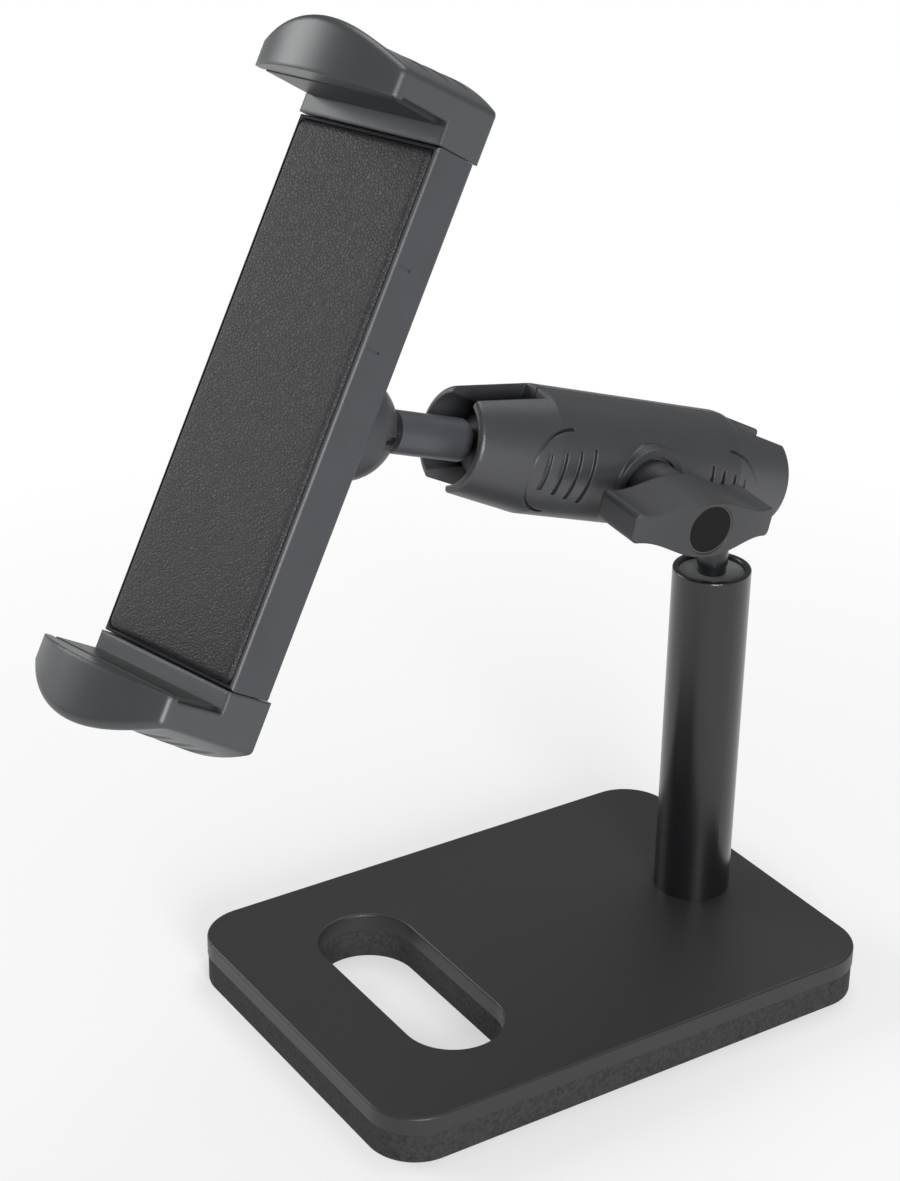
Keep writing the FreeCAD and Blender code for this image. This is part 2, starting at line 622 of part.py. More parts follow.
def make_knob():
    nose = "(ring_floor + knob_washer + knob_gap)"
    blade = doc.addObject("Part::Feature", "wing_knob_blade")
    half = [(0.0, s.knob_hub_h), (s.knob_root, s.knob_root_h),
            (s.knob_neck, s.knob_neck_h), (s.knob_half, s.knob_tip_h)]
    top = [V(-x, y, 0) for x, y in reversed(half[1:])] + [V(x, y, 0) for x, y in half]
    low = [V(-p.x, -p.y, 0) for p in top]
    edges = []
    for side, following in ((top, low), (low, top)):
        curve = Part.BSplineCurve()
        curve.interpolate(side)
        edges += [curve.toShape(), Part.makeLine(side[-1], following[0])]
    plain = Part.Face(Part.Wire(edges)).extrude(V(0, 0, s.knob_front - s.knob_back))
    corners = [edge for edge in plain.Edges if upright(edge)]
    blade.Shape = plain.makeFillet(s.knob_corner, corners)
    blade.Placement = FreeCAD.Placement(V(0, 0, s.knob_back), FreeCAD.Rotation())
    sweep_r = "((knob_half ^ 2 + knob_sweep ^ 2) / (2 * knob_sweep))"
    bulge = rod("wing_knob_bulge", ("0", "-knob_half", f"knob_front - {sweep_r}"), "y",
                sweep_r, "2 * knob_half")
    wings = common("wing_knob_wings", blade, bulge)
    nose_rod = rod("wing_knob_nose", ("0", "0", nose), "z", "knob_nose_r",
                   f"knob_back + 2 - {nose}")
    bore = rod("wing_knob_bore", ("0", "0", f"{nose} - 1"), "z", "insert_r",
               "insert_len + 1")
    cap_seat = rod("wing_knob_cap_seat", ("0", "0", "knob_front - cap_sink - cap_thick"),
                   "z", "cap_r + cap_fit", "cap_thick + cap_sink + 1")
    knob = cut("wing_knob_cut", fuse("wing_knob_all", wings, nose_rod), bore, cap_seat)
    node(knob, "wing_knob", KNOB)
    insert = cut("knob_insert_cut",
                 rod("knob_insert_outer", ("0", "0", nose), "z", "insert_r", "insert_len"),
                 rod("knob_insert_bore", ("0", "0", f"{nose} - 1"), "z",
                     "bolt_d / 2 + insert_fit", "insert_len + 2"))
    node(insert, "knob_insert", KNOB)
    cap = rod("knob_cap_disc", ("0", "0", "0"), "z", "cap_r", "cap_thick")
    node(fuse_one(cap, "knob_cap_moved", "knob_front - cap_sink - cap_thick"),
         "knob_cap", KNOB)


def fuse_one(shape, name, height):
    """A single primitive lifted along Z inside a group frame."""
    bind(shape, **{"Placement.Base.z": height})
    whole = doc.addObject("Part::Compound", name)
    whole.Links = [shape]
    return whole


# Stem between the arm and the holder, Z along the stem from the upper ball

def make_stem():
    bored_ball("upper_ball", "0", "ball_d", "stem_core_d", "ball_bore_deep", STEM, True)
    foot = "ball_d / 2 - ball_bore_deep + bore_spare"
    small_low = "stem_len - small_ball_d / 2"
    top = f"{small_low} + small_bore_deep - bore_spare"
    core, neck = "stem_core_d / 2", "stem_neck_d / 2"
    stud = revolve("stem_stud", [
        ("0", foot), (core, foot), (core, "ball_d / 2 + neck_clear"),
        (neck, "ball_d / 2 + neck_clear"),
        (neck, "stem_start"), (core, "stem_start"), (core, "stem_len - stem_stop"),
        (neck, "stem_len - stem_stop"), (neck, f"{small_low} - neck_clear"),
        (core, f"{small_low} - neck_clear"), (core, top), ("0", top)], STEM)
    node(stud, "stem_stud")
    sleeve = revolve("stem_sleeve", [
        (core, "stem_start"), ("stem_d / 2", "stem_start"),
        ("stem_d / 2", "stem_len - stem_stop"), (core, "stem_len - stem_stop")], STEM)
    outer = s.stem_d
    soften(sleeve, "Fillet", "stem_round",
           lambda edge: level_at(s.stem_start)(edge) and edge.BoundBox.XLength > outer - 1)
    node(sleeve, "stem_sleeve")
    bored_ball("stem_ball", "stem_len", "small_ball_d", "stem_core_d", "small_bore_deep",
               STEM)


# Holder body, in its frame: X across, Y along the clamping line, Z out of the pad

def make_seat():
    at = ("0", "0", "-ball_depth")
    outer = ball("ball_seat_outer", at, "dome_r - dome_wall - seat_fit")
    inner = ball("ball_seat_inner", at, "small_ball_d / 2 + ball_play")
    mouth = rod("ball_seat_mouth", ("0", "0", "-ball_depth - dome_r"), "z",
                "dome_r * sin(mouth_angle * 1 deg) - seat_step", "dome_r")
    front = box("ball_seat_front", ("-dome_r", "-dome_r", "-ball_depth + seat_front"),
                ("2 * dome_r", "2 * dome_r", "dome_r"))
    node(cut("ball_seat_cut", outer, inner, mouth, front), "ball_seat", HOLDER)


def casing(label, low, high, rounded):
    """A plain layer of the holder body, with one face's long and short edges rounded."""
    body = doc.addObject("PartDesign::Body", f"{label}_form")
    plan = new_sketch(body, f"{label}_plan", offset=low)
    rectangle(plan, "body_w", "body_l")
    pad(body, plan, f"{high} - ({low})")
    soften(body, "Fillet", "body_edge", level_at(rounded))
    return body


def case_posts(name, low, high, radius):
    """The four screw posts round the ball, from one height to another."""
    return [rod(f"{name}_{i}", (f"{sx} * case_screw_x", f"{sy} * case_screw_y", low), "z",
                radius, f"{high} - ({low})")
            for i, (sx, sy) in enumerate(((1, 1), (-1, 1), (-1, -1), (1, -1)))]


def slide_tunnels(name):
    """The slit through each end wall for the fork slides."""
    half = f"({SLIDE_W} / 2 + slide_play)"
    low = "-slide_depth - slide_thick / 2 - slide_play"
    deep = "(side_wall + 2)"
    return [box(f"{name}_{i}", (f"-{half}", y, low),
                (f"2 * {half}", deep, "slide_thick + 2 * slide_play"))
            for i, y in enumerate((f"body_l / 2 + 1 - {deep}", "-body_l / 2 - 1"))]


def make_holder():
    back, floor = "-body_thick", "-body_thick + skin"
    seam, ceiling = "-seam_depth", "-pad_deep - skin"
    inner_w, inner_l = "(body_w - 2 * side_wall)", "(body_l - 2 * side_wall)"
    centre = "-ball_depth"
    dome_in = "(dome_r - dome_wall)"
    shell = casing("holder_back", back, seam, -s.body_thick)
    hollow = box("holder_back_hollow", (f"-{inner_w} / 2", f"-{inner_l} / 2", floor),
                 (inner_w, inner_l, "body_thick"))
    dome = ball("holder_dome", ("0", "0", centre), "dome_r")
    neck = rod("holder_dome_neck", ("0", "0", centre), "z", "dome_r",
               "ball_depth - body_thick + skin")
    flare = cone("holder_dome_flare", ("0", "0", f"{back} - dome_flare"), "z", "dome_r",
                 "dome_r + dome_flare", "dome_flare")
    posts = case_posts("holder_back_post", floor, seam, "case_post_r")
    anchors = [rod(f"holder_anchor_{i}", ("0", f"{end} * anchor_y", floor), "z",
                   "anchor_r", f"{ceiling} - ({floor}) - anchor_gap") for i, end in enumerate((1, -1))]
    solid = fuse("holder_back_all", cut("holder_back_tray", shell, hollow), dome, neck,
                 flare, *posts, *anchors)
    ball_room = ball("holder_ball_room", ("0", "0", centre), dome_in)
    bore = rod("holder_ball_bore", ("0", "0", centre), "z", dome_in, "ball_depth")
    mouth = rod("holder_mouth", ("0", "0", f"{centre} - dome_r - 1"), "z",
                "dome_r * sin(mouth_angle * 1 deg)", "dome_r")
    rim = "(ball_depth + dome_r * cos(mouth_angle * 1 deg))"
    notches = [box("holder_notch_x", ("-dome_r - 1", "-notch_w / 2", f"-{rim} - 5"),
                   ("2 * dome_r + 2", "notch_w", "notch_deep + 5")),
               box("holder_notch_y", ("-notch_w / 2", "-dome_r - 1", f"-{rim} - 5"),
                   ("notch_w", "2 * dome_r + 2", "notch_deep + 5"))]
    holes = case_posts("holder_back_hole", f"{back} - 1", "0", "case_screw_r")
    sinks = case_posts("holder_back_sink", f"{back} - 1", f"{back} + case_screw_head",
                       "case_screw_head_r + sink_fit")
    node(cut("holder_back_cut", solid, ball_room, bore, mouth, *notches, *holes, *sinks,
             *slide_tunnels("holder_back_tunnel")), "holder_back_shell", HOLDER)

    shell = casing("holder_front", seam, "0", 0)
    hollow = box("holder_front_hollow", (f"-{inner_w} / 2", f"-{inner_l} / 2", f"{seam} - 1"),
                 (inner_w, inner_l, f"{ceiling} + seam_depth + 1"))
    recess = box("holder_front_recess", (f"-{PAD_W} / 2 - pad_play",
                                         f"-{PAD_L} / 2 - pad_play", "-pad_deep"),
                 (f"{PAD_W} + 2 * pad_play", f"{PAD_L} + 2 * pad_play", "pad_deep + 1"))
    clips = []
    for end in (1, -1):
        for level in ("clip_low", "clip_high"):
            side = "body_w / 2 - clip_deep" if end > 0 else "-body_w / 2 - 1"
            clips.append(box(f"holder_{level}_{'right' if end > 0 else 'left'}",
                             (side, level, f"{seam} + clip_line_low"),
                             ("clip_deep + 1", "clip_groove",
                              "seam_depth - clip_line_low - clip_line_top")))
    tray = cut("holder_front_tray", shell, hollow, recess, *clips)
    posts = case_posts("holder_front_post", seam, ceiling, "case_post_r")
    holes = case_posts("holder_front_hole", f"{seam} - 1", "-body_thick + case_screw_len",
                       "case_screw_r")
    node(cut("holder_front_cut", fuse("holder_front_all", tray, *posts), *holes,
             *slide_tunnels("holder_front_tunnel")), "holder_front_shell", HOLDER)

    screws = doc.addObject("Part::Compound", "case_screws_all")
    screws.Links = [fuse(f"case_screw_{i}", head, shank) for i, (head, shank) in enumerate(zip(
        case_posts("case_screw_head", back, f"{back} + case_screw_head", "case_screw_head_r"),
        case_posts("case_screw_shank", back, f"{back} + case_screw_len", "case_screw_r")))]
    node(screws, "case_screws", HOLDER)

    flange = rod("seat_retainer_flange", ("0", "0", floor), "z", "retainer_flange_r",
                 "retainer_flange")
    tail = rod("seat_retainer_tail", ("0", "0", f"{floor} - retainer_tail"), "z",
               f"{dome_in} - seat_fit", "retainer_tail + 1")
    room = ball("seat_retainer_room", ("0", "0", centre), dome_in)
    node(cut("seat_retainer_cut", fuse("seat_retainer_all", flange, tail), room),
         "seat_retainer", HOLDER)

    body = doc.addObject("PartDesign::Body", "holder_pad")
    plan = new_sketch(body, "holder_pad_plan", offset="-pad_deep")
    rectangle(plan, PAD_W, PAD_L)
    pad(body, plan, "pad_deep + pad_proud")
    soften(body, "Fillet", "pad_edge", level_at(s.pad_proud))
    node(body, "holder_pad", HOLDER)


def make_jaw(side, placement):
    """One spring jaw with its rubber liner, fork slide, screws and return spring."""
    half_w, inner = "body_w / 2", "(body_l / 2 + jaw_gap)"
    low, ledge = "(-body_thick - jaw_back)", "(body_l / 2 + jaw_ledge)"
    lip = s.top_lip if side == "top" else s.bottom_lip
    lip_name = "top_lip" if side == "top" else "bottom_lip"
    back_at, front_at = -s.body_thick - s.jaw_back, lip + s.jaw_dome
    flare_at = lip - s.jaw_flare
    corner_front = s.top_corner_front if side == "top" else s.bottom_corner_front
    arch = doc.addObject("Part::Feature", f"{side}_jaw_arch")
    arch.Shape = Part.makeLoft([
        jaw_outline(s.jaw_corner_back, s.jaw_crown_back, back_at),
        jaw_outline(s.jaw_corner_mid, s.jaw_crown_mid, flare_at),
        jaw_outline(corner_front, s.jaw_crown_front, front_at)], True, True)
    dome = doc.addObject("Part::Feature", f"{side}_jaw_dome")
    dome.Shape = domed_block(back_at, lip)
    blank = common(f"{side}_jaw_blank", arch, dome)
    doc.recompute()
    inner_end = blank.Shape.BoundBox.YMin + 1
    rounded = doc.addObject("Part::Fillet", f"{side}_jaw_rounded")
    rounded.Base = blank

    def softening(edge):
        """How far to round an edge: the outline of the domed front most."""
        at = edge.BoundBox
        if at.YMax < inner_end:
            return 0.0
        if at.ZMin > lip - 1:
            return s.jaw_fold
        return s.jaw_edge if at.ZMax < back_at + 1 else 0.0
    rounded.Edges = [(i, softening(edge), softening(edge))
                     for i, edge in enumerate(blank.Shape.Edges, start=1) if softening(edge)]
    gap = box(f"{side}_jaw_gap", (f"-{half_w} - 1", "0", "0"),
              ("body_w + 2", ledge, f"{lip_name} - lip_thick"))
    hook = box(f"{side}_jaw_hook", (f"-{half_w} - 1", "0", f"{lip_name} - lip_thick - 1"),
               ("body_w + 2", f"{ledge} - lip_hook", "lip_thick + jaw_dome + 2"))
    slot = box(f"{side}_jaw_slot", (f"-{SLIDE_W} / 2", "0", "-slide_depth - slide_thick / 2"),
               (SLIDE_W, "body_l / 2 + slide_grip", "slide_thick"))
    groove_r = s.grip_deep / 2 + s.grip_wide ** 2 / (8 * s.grip_deep)
    grips = []
    for i in (-1, 0, 1):
        height = s.grip_at + i * s.grip_pitch
        share = (height - back_at) / (flare_at - back_at)
        corner = s.jaw_corner_back + (s.jaw_corner_mid - s.jaw_corner_back) * share
        crown = s.jaw_crown_back + (s.jaw_crown_mid - s.jaw_crown_back) * share
        crown_r = (s.body_w ** 2 / 4 + crown ** 2) / (2 * crown)
        sag = crown_r - math.sqrt(crown_r ** 2 - s.grip_span ** 2 / 4) - s.grip_deep
        top = s.body_l / 2 + corner + crown
        ring = doc.addObject("Part::Feature", f"{side}_jaw_grip_{i + 1}")
        ring.Shape = lens_cutter(top - s.grip_deep, sag, groove_r, height)
        grips.append(ring)
    screw_y = "(body_l / 2 + slide_grip - jaw_screw_in)"
    holes = [rod(f"{side}_jaw_hole_{i}", (f"{x} * jaw_screw_x", screw_y, f"{low} - 1"), "z",
                 "jaw_screw_r", f"jaw_screw_up - slide_depth + 1 - ({low})")
             for i, x in enumerate((1, -1))]
    sinks = [rod(f"{side}_jaw_sink_{i}", (f"{x} * jaw_screw_x", screw_y, f"{low} - 1"), "z",
                 "jaw_screw_head_r + sink_fit", "1 + jaw_screw_head")
             for i, x in enumerate((1, -1))]
    node(cut(f"{side}_jaw_cut", rounded, gap, hook, slot, *grips, *holes, *sinks),
         f"{side}_jaw", placement)

    liner = box(f"{side}_liner_strip", (f"-{LINER_W} / 2", f"{ledge} - liner_thick",
                                        "liner_front"),
                (LINER_W, "liner_thick", f"{lip_name} - lip_thick - liner_front"))
    node(fuse_one(liner, f"{side}_liner_all", "liner_front"), f"{side}_jaw_liner", placement)

    plate = box(f"{side}_slide_plate", (f"-{SLIDE_W} / 2", "slide_inner",
                                        "-slide_depth - slide_thick / 2"),
                (SLIDE_W, "body_l / 2 + slide_grip - slide_inner", "slide_thick"))
    fork = box(f"{side}_slide_fork", ("-slide_slot / 2", "slide_inner - 1",
                                      "-slide_depth - slide_thick"),
               ("slide_slot", "slide_bridge - slide_inner + 1", "2 * slide_thick"))
    eyes = [rod(f"{side}_slide_eye_{i}", (f"{x} * jaw_screw_x", screw_y, "-body_thick"), "z",
                "jaw_screw_r", "body_thick") for i, x in enumerate((1, -1))]
    peg = rod(f"{side}_slide_peg", ("0", "peg_y", "-slide_depth - slide_thick / 2 - peg_h"),
              "z", "peg_r", "peg_h + slide_thick / 2")
    node(fuse(f"{side}_slide_all", cut(f"{side}_slide_cut", plate, fork, *eyes), peg),
         f"{side}_slide", placement)

    screws = doc.addObject("Part::Compound", f"{side}_jaw_screws_all")
    screws.Links = [fuse(f"{side}_jaw_screw_{i}",
                         rod(f"{side}_screw_head_{i}", (f"{x} * jaw_screw_x", screw_y, low),
                             "z", "jaw_screw_head_r", "jaw_screw_head"),
                         rod(f"{side}_screw_shank_{i}", (f"{x} * jaw_screw_x", screw_y, low),
                             "z", "jaw_screw_r", f"jaw_screw_up - slide_depth - ({low})"))
                    for i, x in enumerate((1, -1))]
    node(screws, f"{side}_jaw_screws", placement)

    spring = doc.addObject("Part::Feature", f"{side}_spring_wire")
    spring.Shape = jaw_spring()
    node(spring, f"{side}_spring", placement)


def jaw_outline(corner_up, crown, height):
    """The jaw's outline at one height: square toward the holder, and on its outer end an
    arch with round shoulders that runs smoothly into both sides."""
    half, low = s.body_w / 2, s.body_l / 2 + s.jaw_gap
    corner, shoulder = s.body_l / 2 + corner_up, s.jaw_shoulder
    arch_r = (half ** 2 + crown ** 2) / (2 * crown)
    arch_y = corner + crown - arch_r
    side_x = half - shoulder
    side_y = arch_y + math.sqrt((arch_r - shoulder) ** 2 - side_x ** 2)
    toward = V(side_x, side_y - arch_y, 0).normalize()
    meet = V(0, arch_y, 0) + toward * arch_r
    bend = V(side_x, side_y, 0) + (toward + V(1, 0, 0)).normalize() * shoulder
    points = [V(half, low, 0), V(half, side_y, 0), bend, meet, V(0, corner + crown, 0)]
    right = [p + V(0, 0, height) for p in points]
    left = [V(-p.x, p.y, p.z) for p in right]
    return Part.Wire([
        Part.makeLine(left[0], right[0]), Part.makeLine(right[0], right[1]),
        Part.Arc(right[1], right[2], right[3]).toShape(),
        Part.Arc(right[3], right[4], left[3]).toShape(),
        Part.Arc(left[3], left[2], left[1]).toShape(), Part.makeLine(left[1], left[0])])


def domed_block(low, side_top):
    """A block over the whole jaw whose top is domed across the jaw, from side to side."""
    half, start = s.body_w / 2, s.body_l / 2 - 1
    corners = [V(half, start, side_top), V(half, start, low - 1), V(-half, start, low - 1),
               V(-half, start, side_top)]
    edges = [Part.makeLine(a, b) for a, b in zip(corners, corners[1:])]
    crest = V(0, start, side_top + s.jaw_dome)
    edges.append(Part.Arc(corners[-1], crest, corners[0]).toShape())
    return Part.Face(Part.Wire(edges)).extrude(V(0, s.body_l / 2, 0))


def lens_cutter(bottom, sag, groove_r, height):
    """A ring whose groove is deepest at the middle and runs out at the ends of its span.
    Its bottom passes through the given point and falls by sag at half the span."""
    if sag < 0.05:
        start = V(-s.grip_span / 2, bottom + groove_r, height)
        return Part.makeCylinder(groove_r, s.grip_span, start, V(1, 0, 0))
    bottom_r = (s.grip_span ** 2 / 4 + sag ** 2) / (2 * sag)
    return Part.makeTorus(bottom_r + groove_r, groove_r, V(0, bottom - bottom_r, height))


def jaw_spring():
    """A drawn coil with an eye at each end, round the anchor post and the slide's peg."""
    level = -s.slide_depth - s.coil_drop
    lead = s.coil_hook_r + s.coil_lead
    start, stop = s.anchor_y + lead, s.peg_y - lead
    around = [math.radians(s.coil_open + (360 - 2 * s.coil_open) * i / EYE_STEPS)
              for i in range(EYE_STEPS + 1)]
    eye = [(s.coil_hook_r * math.sin(turn), s.coil_hook_r * math.cos(turn))
           for turn in around]
    points = [V(x, s.anchor_y + y, level - s.coil_low) for x, y in reversed(eye)]
    count = int(s.coil_turns * JAW_SPRING_STEPS)
    for i in range(count + 1):
        share = i / count
        turn = (s.coil_early + share * (s.coil_turns - 2 * s.coil_early)) * math.tau
        points.append(V(-s.coil_r * math.sin(turn), start + (stop - start) * share,
                        level - s.coil_r * math.cos(turn)))
    points += [V(-x, s.peg_y - y, level - s.coil_low) for x, y in eye]
    return tube_along(points, s.coil_wire / 2, True)


make_base()
make_post()
make_lower_ball()
make_arm()
make_knob()
make_stem()
make_seat()
make_holder()
make_jaw("top", HOLDER)
make_jaw("bottom", HOLDER_LOW)
doc.recompute()

for obj in doc.Objects:
    if "Invalid" in obj.State or "Error" in obj.State:
        raise RuntimeError(f"{obj.Label} did not recompute")
os.makedirs("parts", exist_ok=True)
for piece in nodes:
    if piece.Shape.isNull() or not piece.Shape.isValid():
        raise RuntimeError(f"{piece.Label} has no valid shape")
    piece.Shape.exportStep(f"parts/{piece.Label}.step")
    print(f"{piece.Label}: {len(piece.Shape.Solids)} solid, {piece.Shape.Volume:.0f} mm3")
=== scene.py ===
import json
import math

import bmesh
import bpy
import numpy as np
from mathutils import Matrix, Vector


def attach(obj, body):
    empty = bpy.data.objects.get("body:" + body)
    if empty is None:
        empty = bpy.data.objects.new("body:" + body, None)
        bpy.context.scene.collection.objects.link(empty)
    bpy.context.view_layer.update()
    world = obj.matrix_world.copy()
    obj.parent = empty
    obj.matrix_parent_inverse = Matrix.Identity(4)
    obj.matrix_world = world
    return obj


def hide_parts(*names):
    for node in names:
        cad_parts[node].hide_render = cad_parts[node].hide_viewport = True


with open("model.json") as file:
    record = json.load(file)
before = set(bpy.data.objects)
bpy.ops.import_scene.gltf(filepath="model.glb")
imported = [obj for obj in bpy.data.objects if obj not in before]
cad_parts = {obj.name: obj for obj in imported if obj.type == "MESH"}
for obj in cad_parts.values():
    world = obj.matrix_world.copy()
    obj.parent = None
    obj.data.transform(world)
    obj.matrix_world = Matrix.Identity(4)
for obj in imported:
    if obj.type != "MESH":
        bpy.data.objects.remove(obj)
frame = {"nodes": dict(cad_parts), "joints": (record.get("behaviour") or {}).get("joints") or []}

bl_info = {
    "name": "Tablet desk stand",
    "version": (1, 0, 0),
    "blender": (4, 5, 0),
    "location": "View3D > Sidebar > Desk Stand",
    "description": "Looks of a tablet desk stand with a ball arm and a spring clamp",
    "category": "Object",
}

MM = 0.001

# Points on the quarter circles of the two soft pieces.
PAD_CORNER_STEPS = 10
PAD_ROLL_STEPS = 9
FOAM_CORNER_STEPS = 24
FOAM_EDGE_STEPS = 4

# Past its rolled edge, the pad's face lies this much higher at each distance inward.
SWELL_IN = np.array([0.6, 1.6, 4.0, 10.0]) * MM
SWELL_UP = np.array([0.04, 0.08, 0.12, 0.14]) * MM

# The tightest corner, in plan, that a drawn-in ring of points keeps.
LEAST_CORNER = 0.5 * MM

# Half the floor's side, in metres, and the long side of the camera's film.
FLOOR_HALF = 6.0
FILM_MM = 36.0

# The lamps: name, place, the point each one faces, width in metres and power in watts.
LAMPS = (("key_light", (-1.15, -0.80, 0.75), (0.0, 0.0, 0.18), 0.8, 9.0),
         ("side_light", (1.30, -0.40, 0.50), (0.0, 0.0, 0.16), 0.6, 18.0),
         ("top_light", (-0.25, 0.45, 1.35), (0.0, 0.0, 0.15), 0.9, 7.0))

# A colour Mix node's sockets, by number: its names stand for other kinds of value too.
MIX_FACTOR, MIX_FIRST, MIX_SECOND, MIX_RESULT = 0, 6, 7, 2


def to_linear(code):
    """Linear red, green and blue of an sRGB colour written as six hex digits: a
    straight line for the darkest tones and a power of 2.4 above them."""
    shares = [int(code[i:i + 2], 16) / 255 for i in (0, 2, 4)]
    return tuple(c / 12.92 if c <= 0.04045 else ((c + 0.055) / 1.055) ** 2.4
                 for c in shares)


# Sizes and colours

class StandPad(bpy.types.PropertyGroup):
    """The leatherette pad on the holder's face."""
    width: bpy.props.FloatProperty(
        name="Width", description="Across the holder", default=53.6 * MM,
        unit="LENGTH")
    length: bpy.props.FloatProperty(
        name="Length", description="Along the clamping line", default=149.4 * MM,
        unit="LENGTH")
    low: bpy.props.FloatProperty(
        name="Back", description="Height of the back below the holder's rim",
        default=-2.6 * MM, unit="LENGTH")
    high: bpy.props.FloatProperty(
        name="Front", description="Height of the face above the holder's rim",
        default=0.9 * MM, unit="LENGTH")
    roll: bpy.props.FloatProperty(
        name="Rolled edge", description="Radius of the turned edge", default=2.2 * MM,
        unit="LENGTH")
    corner: bpy.props.FloatProperty(
        name="Corner", description="Radius in plan", default=2.5 * MM, unit="LENGTH")
    colour: bpy.props.FloatVectorProperty(
        name="Colour", description="Leatherette", subtype="COLOR", size=3,
        default=to_linear("2d2d2f"))


class StandFoam(bpy.types.PropertyGroup):
    """The foam pad under the base plate."""
    width: bpy.props.FloatProperty(
        name="Width", description="Across the base", default=126.9 * MM, unit="LENGTH")
    length: bpy.props.FloatProperty(
        name="Length", description="Front to back", default=179.4 * MM, unit="LENGTH")
    thick: bpy.props.FloatProperty(
        name="Thickness", description="Desk to plate", default=10.0 * MM, unit="LENGTH")
    corner: bpy.props.FloatProperty(
        name="Corner", description="Radius in plan", default=15.7 * MM, unit="LENGTH")
    slot_length: bpy.props.FloatProperty(
        name="Slot length", description="End to end", default=81.0 * MM, unit="LENGTH")
    slot_width: bpy.props.FloatProperty(
        name="Slot width", description="Across the slot", default=32.0 * MM,
        unit="LENGTH")
    slot_y: bpy.props.FloatProperty(
        name="Slot place", description="Slot centre from the base's centre",
        default=-46.0 * MM, unit="LENGTH")
    edge: bpy.props.FloatProperty(
        name="Edge", description="Rounding of the cut edges", default=0.5 * MM,
        unit="LENGTH")
    colour: bpy.props.FloatVectorProperty(
        name="Colour", description="Foam rubber", subtype="COLOR", size=3,
        default=to_linear("2e2e2f"))


class StandFinish(bpy.types.PropertyGroup):
    """Colours of the hard pieces."""
    plate: bpy.props.FloatVectorProperty(
        name="Plate", description="Satin powder coat", subtype="COLOR", size=3,
        default=to_linear("2b2b2b"))
    post: bpy.props.FloatVectorProperty(
        name="Post", description="Black coated tube", subtype="COLOR", size=3,
        default=to_linear("151517"))
    arm: bpy.props.FloatVectorProperty(
        name="Arm", description="Grained nylon of the arm and knob", subtype="COLOR",
        size=3, default=to_linear("37383b"))
    stem: bpy.props.FloatVectorProperty(
        name="Stem", description="Moulded sleeve of the stem", subtype="COLOR", size=3,
        default=to_linear("45464b"))
    holder: bpy.props.FloatVectorProperty(
        name="Holder", description="Moulded plastic of the holder", subtype="COLOR",
        size=3, default=to_linear("3e3f44"))
    jaw: bpy.props.FloatVectorProperty(
        name="Jaw", description="Moulded plastic of the jaws", subtype="COLOR",
        size=3, default=to_linear("3d4042"))
    plug: bpy.props.FloatVectorProperty(
        name="Plug", description="Dull grey plug in the post", subtype="COLOR",
        size=3, default=to_linear("6a6f6d"))
    cap: bpy.props.FloatVectorProperty(
        name="Knob cap", description="Smooth dark disc in the knob", subtype="COLOR",
        size=3, default=to_linear("111213"))
    ring: bpy.props.FloatVectorProperty(
        name="Cap's rim", description="Olive rim round the knob's disc",
        subtype="COLOR", size=3, default=to_linear("5a5646"))
    ring_wide: bpy.props.FloatProperty(
        name="Rim width", description="Width of the disc's olive rim",
        default=0.45 * MM, unit="LENGTH")
    ball: bpy.props.FloatVectorProperty(
        name="Balls", description="Rubber of the two large balls", subtype="COLOR",
        size=3, default=to_linear("2a2b2c"))
    liner: bpy.props.FloatVectorProperty(
        name="Liners", description="Rubber strips inside the jaws", subtype="COLOR",
        size=3, default=to_linear("1e1f21"))
    black_steel: bpy.props.FloatVectorProperty(
        name="Black steel", description="Studs and bolt", subtype="COLOR", size=3,
        default=to_linear("18191b"))
    zinc: bpy.props.FloatVectorProperty(
        name="Zinc", description="Plated screws, slides and springs", subtype="COLOR",
        size=3, default=to_linear("c5c5c8"))
    brass: bpy.props.FloatVectorProperty(
        name="Brass", description="Threaded insert", subtype="COLOR", size=3,
        default=to_linear("d9b882"))


class StandView(bpy.types.PropertyGroup):
    """The photo's camera and the studio round the stand."""
    place: bpy.props.FloatVectorProperty(
        name="Camera", description="Where the camera stands", size=3, subtype="XYZ",
        default=(0.57696, -0.41331, 0.48101))
    azimuth: bpy.props.FloatProperty(
        name="Azimuth", description="Direction the camera looks from, in degrees",
        default=56.653)
    elevation: bpy.props.FloatProperty(
        name="Elevation", description="Height of the camera, in degrees",
        default=25.737)
    roll: bpy.props.FloatProperty(
        name="Roll", description="Turn about the line of sight, in degrees",
        default=1.095)
    lens: bpy.props.FloatProperty(
        name="Lens", description="Focal length in millimetres for a 36 mm long side",
        default=79.58)
    floor: bpy.props.FloatVectorProperty(
        name="Floor", description="Pale studio floor", subtype="COLOR", size=3,
        default=to_linear("f4f4f4"))
    carpet: bpy.props.FloatVectorProperty(
        name="Floor's bounce", description="What the floor sends back up as soft light",
        subtype="COLOR", size=3, default=to_linear("4c4c4e"))
    clear_near: bpy.props.FloatProperty(
        name="White near", description="Share of plain white on the floor at the stand",
        default=0.5, min=0.0, max=1.0)
    clear_from: bpy.props.FloatProperty(
        name="White from", description="Where the floor starts to fade to white",
        default=0.12, unit="LENGTH")
    clear_to: bpy.props.FloatProperty(
        name="White to", description="Where the floor is all white", default=0.45,
        unit="LENGTH")
    glow: bpy.props.FloatVectorProperty(
        name="Glow", description="Colour of the soft light from all round",
        subtype="COLOR", size=3, default=(0.95, 0.97, 1.0))
    glow_strength: bpy.props.FloatProperty(
        name="Glow strength", description="Strength of the soft light from all round",
        default=0.22, min=0.0)


# Shader nodes

def set_inputs(node, inputs):
    """Give each named or numbered input of a node a value, or a link from a socket."""
    for key, value in inputs.items():
        if isinstance(value, bpy.types.NodeSocket):
            node.id_data.links.new(value, node.inputs[key])
        else:
            node.inputs[key].default_value = value


